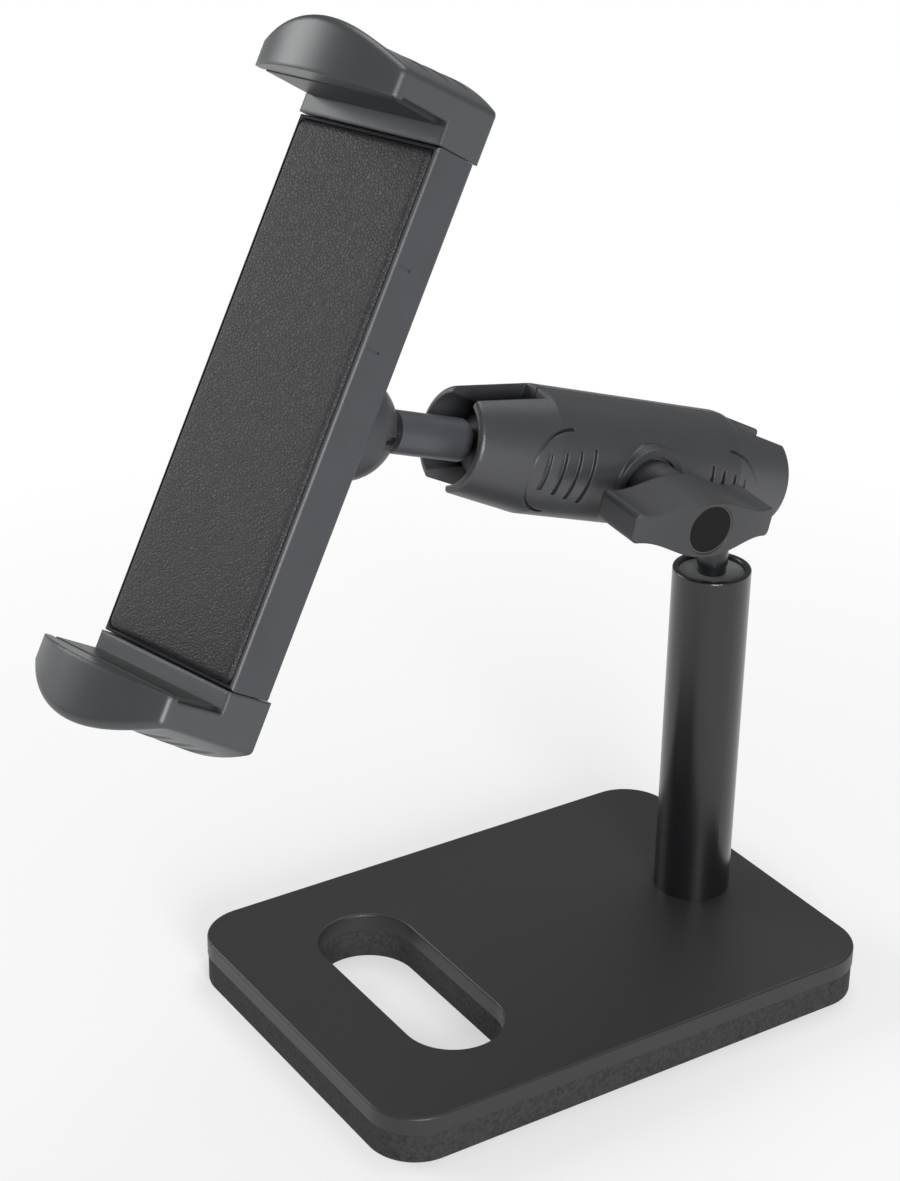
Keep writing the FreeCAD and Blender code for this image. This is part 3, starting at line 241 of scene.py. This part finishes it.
def add_node(tree, kind, inputs=None, **settings):
    """Add one shader node with its settings and its inputs."""
    node = tree.nodes.new(kind)
    for key, value in settings.items():
        setattr(node, key, value)
    set_inputs(node, inputs or {})
    return node


def new_material(name):
    """A material, its node tree, its surface's node and its object's coordinates."""
    material = bpy.data.materials.new(name)
    material.use_nodes = True
    tree = material.node_tree
    tree.nodes.clear()
    surface = add_node(tree, "ShaderNodeBsdfPrincipled")
    add_node(tree, "ShaderNodeOutputMaterial", {"Surface": surface.outputs["BSDF"]})
    place = add_node(tree, "ShaderNodeTexCoord").outputs["Object"]
    return material, tree, surface, place


def colour4(rgb, scale=1.0):
    """A colour made darker or lighter by a factor, with full opacity."""
    return (rgb[0] * scale, rgb[1] * scale, rgb[2] * scale, 1.0)


def pattern_scale(size_mm):
    """The scale at which a pattern's features are about size_mm across."""
    return 1.0 / (size_mm * MM)


# Materials

def moulded(name, rgb, rough, blotch=0.10, shine=0.5, grain_deep_mm=0.05, soft_mm=0.0):
    """Injection-moulded plastic from a spark-eroded mould. The eye sees it evenly matt,
    with broken highlights and faint clouds of lighter and darker tone. Where soft_mm is
    given, light runs over the edges as if they were rounded by that much."""
    cloud_mm = 14.0
    grain_mm = 0.45  # The real grain is finer. It is drawn as coarse as it has to show.
    material, tree, surface, place = new_material(name)
    clouds = add_node(tree, "ShaderNodeTexNoise",
                      {"Vector": place, "Scale": pattern_scale(cloud_mm),
                       "Detail": 3.0})
    grain = add_node(tree, "ShaderNodeTexNoise",
                     {"Vector": place, "Scale": pattern_scale(grain_mm), "Detail": 2.0})
    tone = add_node(tree, "ShaderNodeMix",
                    {MIX_FACTOR: clouds.outputs["Fac"],
                     MIX_FIRST: colour4(rgb, 1 - blotch),
                     MIX_SECOND: colour4(rgb, 1 + blotch)}, data_type="RGBA")
    relief = add_node(tree, "ShaderNodeBump",
                      {"Height": grain.outputs["Fac"], "Distance": grain_deep_mm * MM})
    if soft_mm:
        softened = add_node(tree, "ShaderNodeBevel", {"Radius": soft_mm * MM},
                            samples=6)
        set_inputs(relief, {"Normal": softened.outputs["Normal"]})
    set_inputs(surface, {"Base Color": tone.outputs[MIX_RESULT], "Roughness": rough,
                         "Specular IOR Level": shine,
                         "Normal": relief.outputs["Normal"]})
    return material


def rimmed_disc(name, rgb, rim_rgb, rim_wide, centre, axis, radius):
    """A smooth, dull moulded disc, set in a rim of a second colour. The eye sees a
    nearly black face with a thin olive line round it."""
    fade_mm = 0.05
    material, tree, surface, place = new_material(name)
    offset = add_node(tree, "ShaderNodeVectorMath", {0: place, 1: centre},
                      operation="SUBTRACT")
    across = add_node(tree, "ShaderNodeVectorMath",
                      {0: offset.outputs["Vector"], 1: axis}, operation="CROSS_PRODUCT")
    away = add_node(tree, "ShaderNodeVectorMath", {0: across.outputs["Vector"]},
                    operation="LENGTH")
    edge = radius - rim_wide
    rim = add_node(tree, "ShaderNodeMapRange",
                   {"Value": away.outputs["Value"], "From Min": edge,
                    "From Max": edge + fade_mm * MM, "To Min": 0.0, "To Max": 1.0})
    tone = add_node(tree, "ShaderNodeMix",
                    {MIX_FACTOR: rim.outputs["Result"], MIX_FIRST: colour4(rgb),
                     MIX_SECOND: colour4(rim_rgb)}, data_type="RGBA")
    set_inputs(surface, {"Base Color": tone.outputs[MIX_RESULT], "Roughness": 0.6,
                         "Specular IOR Level": 0.15})
    return material


def powder_coat(name, rgb):
    """Satin powder coat baked on sheet steel. The eye sees a soft sheen over a fine
    stipple, with barely darker and lighter regions."""
    stipple_mm = 0.35  # The real one is finer. It is drawn as coarse as it has to show.
    stipple_deep_mm = 0.03
    cloud_mm = 40.0
    material, tree, surface, place = new_material(name)
    stipple = add_node(tree, "ShaderNodeTexNoise",
                       {"Vector": place, "Scale": pattern_scale(stipple_mm),
                        "Detail": 2.0})
    clouds = add_node(tree, "ShaderNodeTexNoise",
                      {"Vector": place, "Scale": pattern_scale(cloud_mm),
                       "Detail": 2.0})
    tone = add_node(tree, "ShaderNodeMix",
                    {MIX_FACTOR: clouds.outputs["Fac"], MIX_FIRST: colour4(rgb, 0.93),
                     MIX_SECOND: colour4(rgb, 1.07)}, data_type="RGBA")
    relief = add_node(tree, "ShaderNodeBump",
                      {"Height": stipple.outputs["Fac"],
                       "Distance": stipple_deep_mm * MM})
    set_inputs(surface, {"Base Color": tone.outputs[MIX_RESULT], "Roughness": 0.42,
                         "Normal": relief.outputs["Normal"]})
    return material


def black_coated_steel(name, rgb):
    """Drawn or turned steel with a smooth black coat. The eye sees long soft highlights
    and no grain."""
    material, _, surface, _ = new_material(name)
    set_inputs(surface, {"Base Color": colour4(rgb), "Roughness": 0.28,
                         "Coat Weight": 0.25, "Coat Roughness": 0.2})
    return material


def machined_metal(name, rgb, rough):
    """Turned or stamped metal, bare or plated. The eye sees a bright surface, duller
    and shinier in thin bands."""
    band_mm = 0.6  # Real turning marks are finer. These are as coarse as has to show.
    band_stretch = (0.2, 0.2, 3.0)
    material, tree, surface, place = new_material(name)
    stretched = add_node(tree, "ShaderNodeMapping",
                         {"Vector": place, "Scale": band_stretch}, vector_type="POINT")
    bands = add_node(tree, "ShaderNodeTexNoise",
                     {"Vector": stretched.outputs["Vector"],
                      "Scale": pattern_scale(band_mm), "Detail": 2.0})
    uneven = add_node(tree, "ShaderNodeMapRange",
                      {"Value": bands.outputs["Fac"], "From Min": 0.3, "From Max": 0.7,
                       "To Min": rough * 0.8, "To Max": rough * 1.2})
    set_inputs(surface, {"Base Color": colour4(rgb), "Metallic": 1.0,
                         "Roughness": uneven.outputs["Result"]})
    return material


def smooth_rubber(name, rgb, rough):
    """Moulded rubber from a polished mould. The eye sees a smooth dark surface with
    paler dusty patches."""
    dust_mm = 5.0
    material, tree, surface, place = new_material(name)
    dust = add_node(tree, "ShaderNodeTexNoise",
                    {"Vector": place, "Scale": pattern_scale(dust_mm), "Detail": 3.0})
    tone = add_node(tree, "ShaderNodeMix",
                    {MIX_FACTOR: dust.outputs["Fac"], MIX_FIRST: colour4(rgb, 0.85),
                     MIX_SECOND: colour4(rgb, 1.2)}, data_type="RGBA")
    set_inputs(surface, {"Base Color": tone.outputs[MIX_RESULT], "Roughness": rough})
    return material


def leatherette(name, rgb):
    """Vinyl leatherette, embossed by a roller. The eye sees small uneven pebbles with painted
    shade darkening the creases between them, and faint paler patches."""
    pebble_mm = 1.15
    pebble_deep_mm = 0.10
    bend_mm = 3.0  # The pebbles wander by bend_by_mm over about this length.
    bend_by_mm = 0.9
    patch_mm = 9.0
    material, tree, surface, place = new_material(name)
    bend = add_node(tree, "ShaderNodeTexNoise",
                    {"Vector": place, "Scale": pattern_scale(bend_mm), "Detail": 2.0})
    shift = add_node(tree, "ShaderNodeVectorMath",
                     {0: bend.outputs["Color"], "Scale": bend_by_mm * MM},
                     operation="SCALE")
    bent = add_node(tree, "ShaderNodeVectorMath",
                    {0: place, 1: shift.outputs["Vector"]}, operation="ADD")
    pebbles = add_node(tree, "ShaderNodeTexVoronoi",
                       {"Vector": bent.outputs["Vector"],
                        "Scale": pattern_scale(pebble_mm)}, feature="DISTANCE_TO_EDGE")
    rounded = add_node(tree, "ShaderNodeMapRange",
                       {"Value": pebbles.outputs["Distance"], "From Min": 0.0,
                        "From Max": 0.22, "To Min": 0.0, "To Max": 1.0})
    patches = add_node(tree, "ShaderNodeTexNoise",
                       {"Vector": place, "Scale": pattern_scale(patch_mm),
                        "Detail": 3.0})
    worn = add_node(tree, "ShaderNodeMapRange",
                    {"Value": patches.outputs["Fac"], "From Min": 0.3, "From Max": 0.7,
                     "To Min": 0.0, "To Max": 0.3})
    # Painted shade: the colour darkens towards each pebble's edge, in the creases where the
    # relief is lowest.
    crease_painted_shade = add_node(tree, "ShaderNodeMix",
                       {MIX_FACTOR: rounded.outputs["Result"],
                        MIX_FIRST: colour4(rgb, 0.72), MIX_SECOND: colour4(rgb, 1.05)},
                       data_type="RGBA")
    tone = add_node(tree, "ShaderNodeMix",
                    {MIX_FACTOR: worn.outputs["Result"],
                     MIX_FIRST: crease_painted_shade.outputs[MIX_RESULT],
                     MIX_SECOND: colour4(rgb, 1.3)}, data_type="RGBA")
    relief = add_node(tree, "ShaderNodeBump",
                      {"Height": rounded.outputs["Result"],
                       "Distance": pebble_deep_mm * MM})
    set_inputs(surface, {"Base Color": tone.outputs[MIX_RESULT], "Roughness": 0.55,
                         "Normal": relief.outputs["Normal"]})
    return material


def foam_rubber(name, rgb):
    """Closed-cell foam rubber, cut with a knife. The eye sees cut cells of many sizes as pale
    and dark flecks, quite matt: painted shade that follows the cells' relief, darkest in the
    hollows."""
    cell_mm = 1.3
    cell_deep_mm = 0.35
    large_cell_mm = 4.5
    material, tree, surface, place = new_material(name)
    cells = add_node(tree, "ShaderNodeTexNoise",
                     {"Vector": place, "Scale": pattern_scale(cell_mm), "Detail": 4.0})
    # Painted shade: this mask follows the cells' relief, so the colour darkens where the bump
    # below sinks into a hollow.
    hollow_shade_mask = add_node(tree, "ShaderNodeMapRange",
                      {"Value": cells.outputs["Fac"], "From Min": 0.38,
                       "From Max": 0.62, "To Min": 0.0, "To Max": 1.0})
    large_cells = add_node(tree, "ShaderNodeTexNoise",
                           {"Vector": place, "Scale": pattern_scale(large_cell_mm),
                            "Detail": 2.0})
    pale = add_node(tree, "ShaderNodeMapRange",
                    {"Value": large_cells.outputs["Fac"], "From Min": 0.4,
                     "From Max": 0.6, "To Min": 0.0, "To Max": 0.35})
    # Painted shade in the cells' hollows, paler on their raised rims.
    cells_painted_shade = add_node(tree, "ShaderNodeMix",
                      {MIX_FACTOR: hollow_shade_mask.outputs["Result"],
                       MIX_FIRST: colour4(rgb, 0.62), MIX_SECOND: colour4(rgb, 1.5)},
                      data_type="RGBA")
    tone = add_node(tree, "ShaderNodeMix",
                    {MIX_FACTOR: pale.outputs["Result"],
                     MIX_FIRST: cells_painted_shade.outputs[MIX_RESULT],
                     MIX_SECOND: colour4(rgb, 1.9)}, data_type="RGBA")
    relief = add_node(tree, "ShaderNodeBump",
                      {"Height": cells.outputs["Fac"], "Distance": cell_deep_mm * MM})
    set_inputs(surface, {"Base Color": tone.outputs[MIX_RESULT], "Roughness": 0.85,
                         "Normal": relief.outputs["Normal"]})
    return material


def paint(names, material):
    """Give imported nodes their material, in place of the one they came with."""
    for name in names:
        slots = frame["nodes"][name].data.materials
        slots.clear()
        slots.append(material)


# Surfaces

def grid_object(name, rings, material, joined=False):
    """A mesh through a stack of closed rings of points, shaped rings by points by
    three. The last ring joins the first one, or else a face closes both end rings."""
    rows, columns = rings.shape[:2]
    index = np.arange(rows * columns).reshape(rows, columns)
    index = np.hstack([index, index[:, :1]])
    if joined:
        index = np.vstack([index, index[:1]])
    faces = np.stack([index[:-1, :-1], index[1:, :-1], index[1:, 1:], index[:-1, 1:]],
                     axis=-1).reshape(-1, 4).tolist()
    if not joined:
        faces += [index[0, :-1].tolist(), index[-1, :-1].tolist()]
    mesh = bpy.data.meshes.new(name)
    mesh.from_pydata(rings.reshape(-1, 3).tolist(), [], faces)
    mesh.polygons.foreach_set("use_smooth", np.ones(len(faces), bool))
    mesh.materials.append(material)
    face_outward(mesh)
    obj = bpy.data.objects.new(name, mesh)
    bpy.context.scene.collection.objects.link(obj)
    return obj


def face_outward(mesh):
    """Turn every face of a closed mesh outward."""
    work = bmesh.new()
    work.from_mesh(mesh)
    bmesh.ops.recalc_face_normals(work, faces=work.faces)
    work.to_mesh(mesh)
    work.free()
    mesh.update()


def carried_round(half_x, half_y, corner, inset, rise, steps):
    """Rings of points, where a profile is carried round a rounded rectangle. Ring i
    lies at the height rise[i], with its sides drawn in and its corners' radius made
    less by inset[i]. Each corner is its centre plus the radius times (cos a, sin a),
    over a quarter turn of steps points, so the rings match point for point."""
    inset = inset[:, None, None]
    radius = np.maximum(corner - inset, LEAST_CORNER)
    quadrant = np.array([[1, 1], [-1, 1], [-1, -1], [1, -1]])
    turn = np.linspace(0, math.pi / 2, steps) + np.arange(4)[:, None] * math.pi / 2
    x = quadrant[:, :1] * (half_x - inset - radius) + radius * np.cos(turn)
    y = quadrant[:, 1:] * (half_y - inset - radius) + radius * np.sin(turn)
    z = np.broadcast_to(rise[:, None, None], x.shape)
    return np.stack([x, y, z], axis=-1).reshape(len(rise), -1, 3)


def node_points(name):
    """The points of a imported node's mesh."""
    vertices = frame["nodes"][name].data.vertices
    flat = np.empty(len(vertices) * 3)
    vertices.foreach_get("co", flat)
    return flat.reshape(-1, 3)


def joint_axis(name):
    """The direction of a packed joint."""
    return np.array([j["axis"] for j in frame["joints"] if j["name"] == name][0])


def knob_disc():
    """The knob's disc: its centre, its axis and its radius."""
    points, axis = node_points("knob_cap"), joint_axis("knob_turn")
    centre = (points.min(0) + points.max(0)) / 2
    away = np.cross(points - centre, axis)
    return centre, axis, np.linalg.norm(away, axis=1).max()


def holder_axes():
    """The holder's directions across, along and out of the pad, and the middle of the
    pad's seat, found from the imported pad's own box of points."""
    out, along = joint_axis("holder_spin"), joint_axis("top_jaw_slide")
    across = np.cross(along, out)
    local = node_points("holder_pad") @ np.stack([across, along, out], axis=1)
    middle = (local.min(0) + local.max(0)) / 2
    middle[2] = local[:, 2].min()
    return across, along, out, middle


class STAND_OT_pad(bpy.types.Operator):
    """Make the leatherette pad with its rolled edge."""
    bl_idname = "stand.pad"
    bl_label = "Leatherette pad"

    def execute(self, context):
        """The profile runs straight up the side, inward over a quarter circle of the
        roll's radius, and on across a face that swells a little to the middle."""
        size = context.scene.stand_pad
        across, along, out, middle = holder_axes()
        turn = np.linspace(0, math.pi / 2, PAD_ROLL_STEPS)
        thick = size.high - size.low
        shoulder = thick - size.roll - SWELL_UP[-1]
        inset = np.concatenate([[0.0], size.roll * (1 - np.cos(turn)),
                                size.roll + SWELL_IN])
        rise = np.concatenate([[0.0], shoulder + size.roll * np.sin(turn),
                               shoulder + size.roll + SWELL_UP])
        rings = carried_round(size.width / 2, size.length / 2, size.corner, inset, rise,
                              PAD_CORNER_STEPS)
        points = (rings + middle) @ np.stack([across, along, out])
        pad = grid_object("leather_pad", points,
                          leatherette("black_leatherette", size.colour))
        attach(pad, "holder")
        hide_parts("holder_pad")
        return {"FINISHED"}


class STAND_OT_foam(bpy.types.Operator):
    """Make the foam pad under the plate, slot and all."""
    bl_idname = "stand.foam"
    bl_label = "Foam pad"

    def execute(self, context):
        """The profile runs up the outer side and down the slot's wall, where a quarter
        circle rounds each of the four cut edges."""
        size = context.scene.stand_foam
        turn = np.linspace(0, math.pi / 2, FOAM_EDGE_STEPS)
        pull, drop = size.edge * (1 - np.cos(turn)), size.edge * (1 - np.sin(turn))
        draw = np.concatenate([pull[::-1], pull])
        rise = np.concatenate([drop[::-1], size.thick - drop])
        outer = carried_round(size.width / 2, size.length / 2, size.corner, draw, rise,
                              FOAM_CORNER_STEPS)
        inner = carried_round(size.slot_length / 2, size.slot_width / 2,
                              size.slot_width / 2, -draw[::-1], rise[::-1],
                              FOAM_CORNER_STEPS) + [0.0, size.slot_y, 0.0]
        foam = grid_object("foam_pad", np.concatenate([outer, inner]),
                           foam_rubber("black_foam_rubber", size.colour), joined=True)
        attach(foam, "base")
        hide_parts("base_pad")
        return {"FINISHED"}


class STAND_OT_finishes(bpy.types.Operator):
    """Give every hard piece its finish."""
    bl_idname = "stand.finishes"
    bl_label = "Finishes"

    def execute(self, context):
        """Each group of like pieces shares one material."""
        tone = context.scene.stand_finish
        paint(["base_plate"], powder_coat("satin_powder_coat", tone.plate))
        paint(["post_tube"], black_coated_steel("black_coated_tube", tone.post))
        paint(["post_top_plug"], moulded("dull_grey_plug", tone.plug, rough=0.6))
        paint(["lower_stud", "stem_stud", "clamp_bolt"],
              black_coated_steel("gloss_black_steel", tone.black_steel))
        paint(["lower_ball", "upper_ball"],
              smooth_rubber("ball_rubber", tone.ball, rough=0.55))
        paint(["arm_front_shell", "arm_rear_shell"],
              moulded("arm_nylon", tone.arm, rough=0.40, shine=0.75, soft_mm=0.6))
        paint(["wing_knob"], moulded("knob_nylon", tone.arm, rough=0.46, soft_mm=1.0))
        paint(["knob_cap"], rimmed_disc("knob_cap_plastic", tone.cap, tone.ring,
                                        tone.ring_wide, *knob_disc()))
        paint(["stem_sleeve", "stem_ball", "ball_seat"],
              moulded("stem_plastic", tone.stem, blotch=0.3, rough=0.38))
        paint(["holder_back_shell", "holder_front_shell"],
              moulded("holder_plastic", tone.holder, rough=0.42, blotch=0.2))
        paint(["top_jaw", "bottom_jaw"],
              moulded("jaw_plastic", tone.jaw, rough=0.38, shine=0.65,
                      grain_deep_mm=0.02, soft_mm=1.5))
        paint(["top_jaw_liner", "bottom_jaw_liner"],
              smooth_rubber("liner_rubber", tone.liner, rough=0.4))
        paint(["post_screw", "post_foot_plug", "arm_spring", "thrust_washer",
               "case_screws", "seat_retainer", "top_slide", "bottom_slide",
               "top_jaw_screws", "bottom_jaw_screws", "top_spring", "bottom_spring"],
              machined_metal("zinc_plated_steel", tone.zinc, rough=0.35))
        paint(["knob_insert"], machined_metal("turned_brass", tone.brass, rough=0.3))
        return {"FINISHED"}


class STAND_OT_stage(bpy.types.Operator):
    """Set the pale floor, the studio lights and the photo's camera."""
    bl_idname = "stand.stage"
    bl_label = "Studio"

    def execute(self, context):
        """The world lights the stand softly from all round, and is plain white where
        the camera looks past the floor."""
        scene = context.scene
        view = scene.stand_view
        scene.view_settings.view_transform = "Standard"
        make_floor(view)
        for name, place, target, width, power in LAMPS:
            add_lamp(name, place, target, width, power)
        world = bpy.data.worlds.new("studio_world")
        scene.world = world
        world.use_nodes = True
        tree = world.node_tree
        tree.nodes.clear()
        ray = add_node(tree, "ShaderNodeLightPath")
        seen = add_node(tree, "ShaderNodeBackground",
                        {"Color": (1, 1, 1, 1), "Strength": 1.0})
        glow = add_node(tree, "ShaderNodeBackground",
                        {"Color": colour4(view.glow), "Strength": view.glow_strength})
        mixed = add_node(tree, "ShaderNodeMixShader",
                         {0: ray.outputs["Is Camera Ray"],
                          1: glow.outputs["Background"], 2: seen.outputs["Background"]})
        add_node(tree, "ShaderNodeOutputWorld", {"Surface": mixed.outputs["Shader"]})
        camera = bpy.data.cameras.new("photo_camera")
        camera.lens = view.lens
        camera.sensor_width = FILM_MM
        camera.sensor_fit = "AUTO"
        stand_camera = bpy.data.objects.new("photo_camera", camera)
        scene.collection.objects.link(stand_camera)
        stand_camera.matrix_world = camera_matrix(view)
        scene.camera = stand_camera
        return {"FINISHED"}


def camera_matrix(view):
    """The camera looks down its own -Z along the line of sight, rolled about it."""
    az, el = math.radians(view.azimuth), math.radians(view.elevation)
    back = Vector((math.sin(az) * math.cos(el), -math.cos(az) * math.cos(el),
                   math.sin(el)))
    right = (-back).cross(Vector((0, 0, 1))).normalized()
    up = right.cross(-back)
    roll = math.radians(view.roll)
    turned = right * math.cos(roll) + up * math.sin(roll)
    raised = up * math.cos(roll) - right * math.sin(roll)
    turn = Matrix((turned, raised, back)).transposed().to_4x4()
    return Matrix.Translation(Vector(view.place)) @ turn


def make_floor(view):
    """A wide flat floor that the base stands on. The camera and mirror-like surfaces
    see it pale, with the stand's shadow, and fading to plain white away from the stand.
    Soft light finds it darker, so that it brightens the stand's undersides only a
    little."""
    mesh = bpy.data.meshes.new("floor")
    corners = [(-FLOOR_HALF, -FLOOR_HALF, 0), (FLOOR_HALF, -FLOOR_HALF, 0),
               (FLOOR_HALF, FLOOR_HALF, 0), (-FLOOR_HALF, FLOOR_HALF, 0)]
    mesh.from_pydata(corners, [], [(0, 1, 2, 3)])
    material, tree, surface, place = new_material("studio_floor")
    soft = add_node(tree, "ShaderNodeLightPath").outputs["Is Diffuse Ray"]
    tone = add_node(tree, "ShaderNodeMix",
                    {MIX_FACTOR: soft, MIX_FIRST: colour4(view.floor),
                     MIX_SECOND: colour4(view.carpet)}, data_type="RGBA")
    set_inputs(surface, {"Base Color": tone.outputs[MIX_RESULT], "Roughness": 0.9,
                         "Specular IOR Level": 0.1})
    white = add_node(tree, "ShaderNodeEmission", {"Strength": 1.0})
    away = add_node(tree, "ShaderNodeVectorMath", {0: place}, operation="LENGTH")
    far = add_node(tree, "ShaderNodeMapRange",
                   {"Value": away.outputs["Value"], "From Min": view.clear_from,
                    "From Max": view.clear_to, "To Min": view.clear_near,
                    "To Max": 1.0})
    seen = add_node(tree, "ShaderNodeMath", {0: 1.0, 1: soft}, operation="SUBTRACT")
    share = add_node(tree, "ShaderNodeMath",
                     {0: far.outputs["Result"], 1: seen.outputs["Value"]},
                     operation="MULTIPLY")
    mixed = add_node(tree, "ShaderNodeMixShader",
                     {0: share.outputs["Value"], 1: surface.outputs["BSDF"],
                      2: white.outputs["Emission"]})
    set_inputs(tree.get_output_node("ALL"), {"Surface": mixed.outputs["Shader"]})
    mesh.materials.append(material)
    obj = bpy.data.objects.new("floor", mesh)
    bpy.context.scene.collection.objects.link(obj)
    return obj


def add_lamp(name, place, target, width, power):
    """A round soft lamp that faces the target."""
    light = bpy.data.lights.new(name, "AREA")
    light.shape = "DISK"
    light.size = width
    light.energy = power
    obj = bpy.data.objects.new(name, light)
    obj.location = place
    direction = Vector(target) - Vector(place)
    obj.rotation_mode = "QUATERNION"
    obj.rotation_quaternion = direction.to_track_quat("-Z", "Y")
    bpy.context.scene.collection.objects.link(obj)


class STAND_PT_panel(bpy.types.Panel):
    """Sizes, colours and build steps in the sidebar."""
    bl_idname = "STAND_PT_panel"
    bl_label = "Desk Stand"
    bl_space_type = "VIEW_3D"
    bl_region_type = "UI"
    bl_category = "Desk Stand"

    def draw(self, context):
        for group in GROUPS:
            box = self.layout.box()
            settings = getattr(context.scene, group)
            for key in settings.bl_rna.properties.keys():
                if key not in ("rna_type", "name"):
                    box.prop(settings, key)
        for operator in STEPS:
            self.layout.operator(operator)


GROUPS = {"stand_pad": StandPad, "stand_foam": StandFoam, "stand_finish": StandFinish,
          "stand_view": StandView}
STEPS = ("stand.finishes", "stand.pad", "stand.foam", "stand.stage")
CLASSES = (StandPad, StandFoam, StandFinish, StandView, STAND_OT_pad, STAND_OT_foam,
           STAND_OT_finishes, STAND_OT_stage, STAND_PT_panel)


def register():
    for cls in CLASSES:
        bpy.utils.register_class(cls)
    for name, group in GROUPS.items():
        setattr(bpy.types.Scene, name, bpy.props.PointerProperty(type=group))


def unregister():
    for name in GROUPS:
        delattr(bpy.types.Scene, name)
    for cls in reversed(CLASSES):
        bpy.utils.unregister_class(cls)


def main():
    """Build the whole stand."""
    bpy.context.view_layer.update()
    register()
    bpy.ops.stand.finishes()
    bpy.ops.stand.pad()
    bpy.ops.stand.foam()
    bpy.ops.stand.stage()


if __name__ == "__main__":
    main()
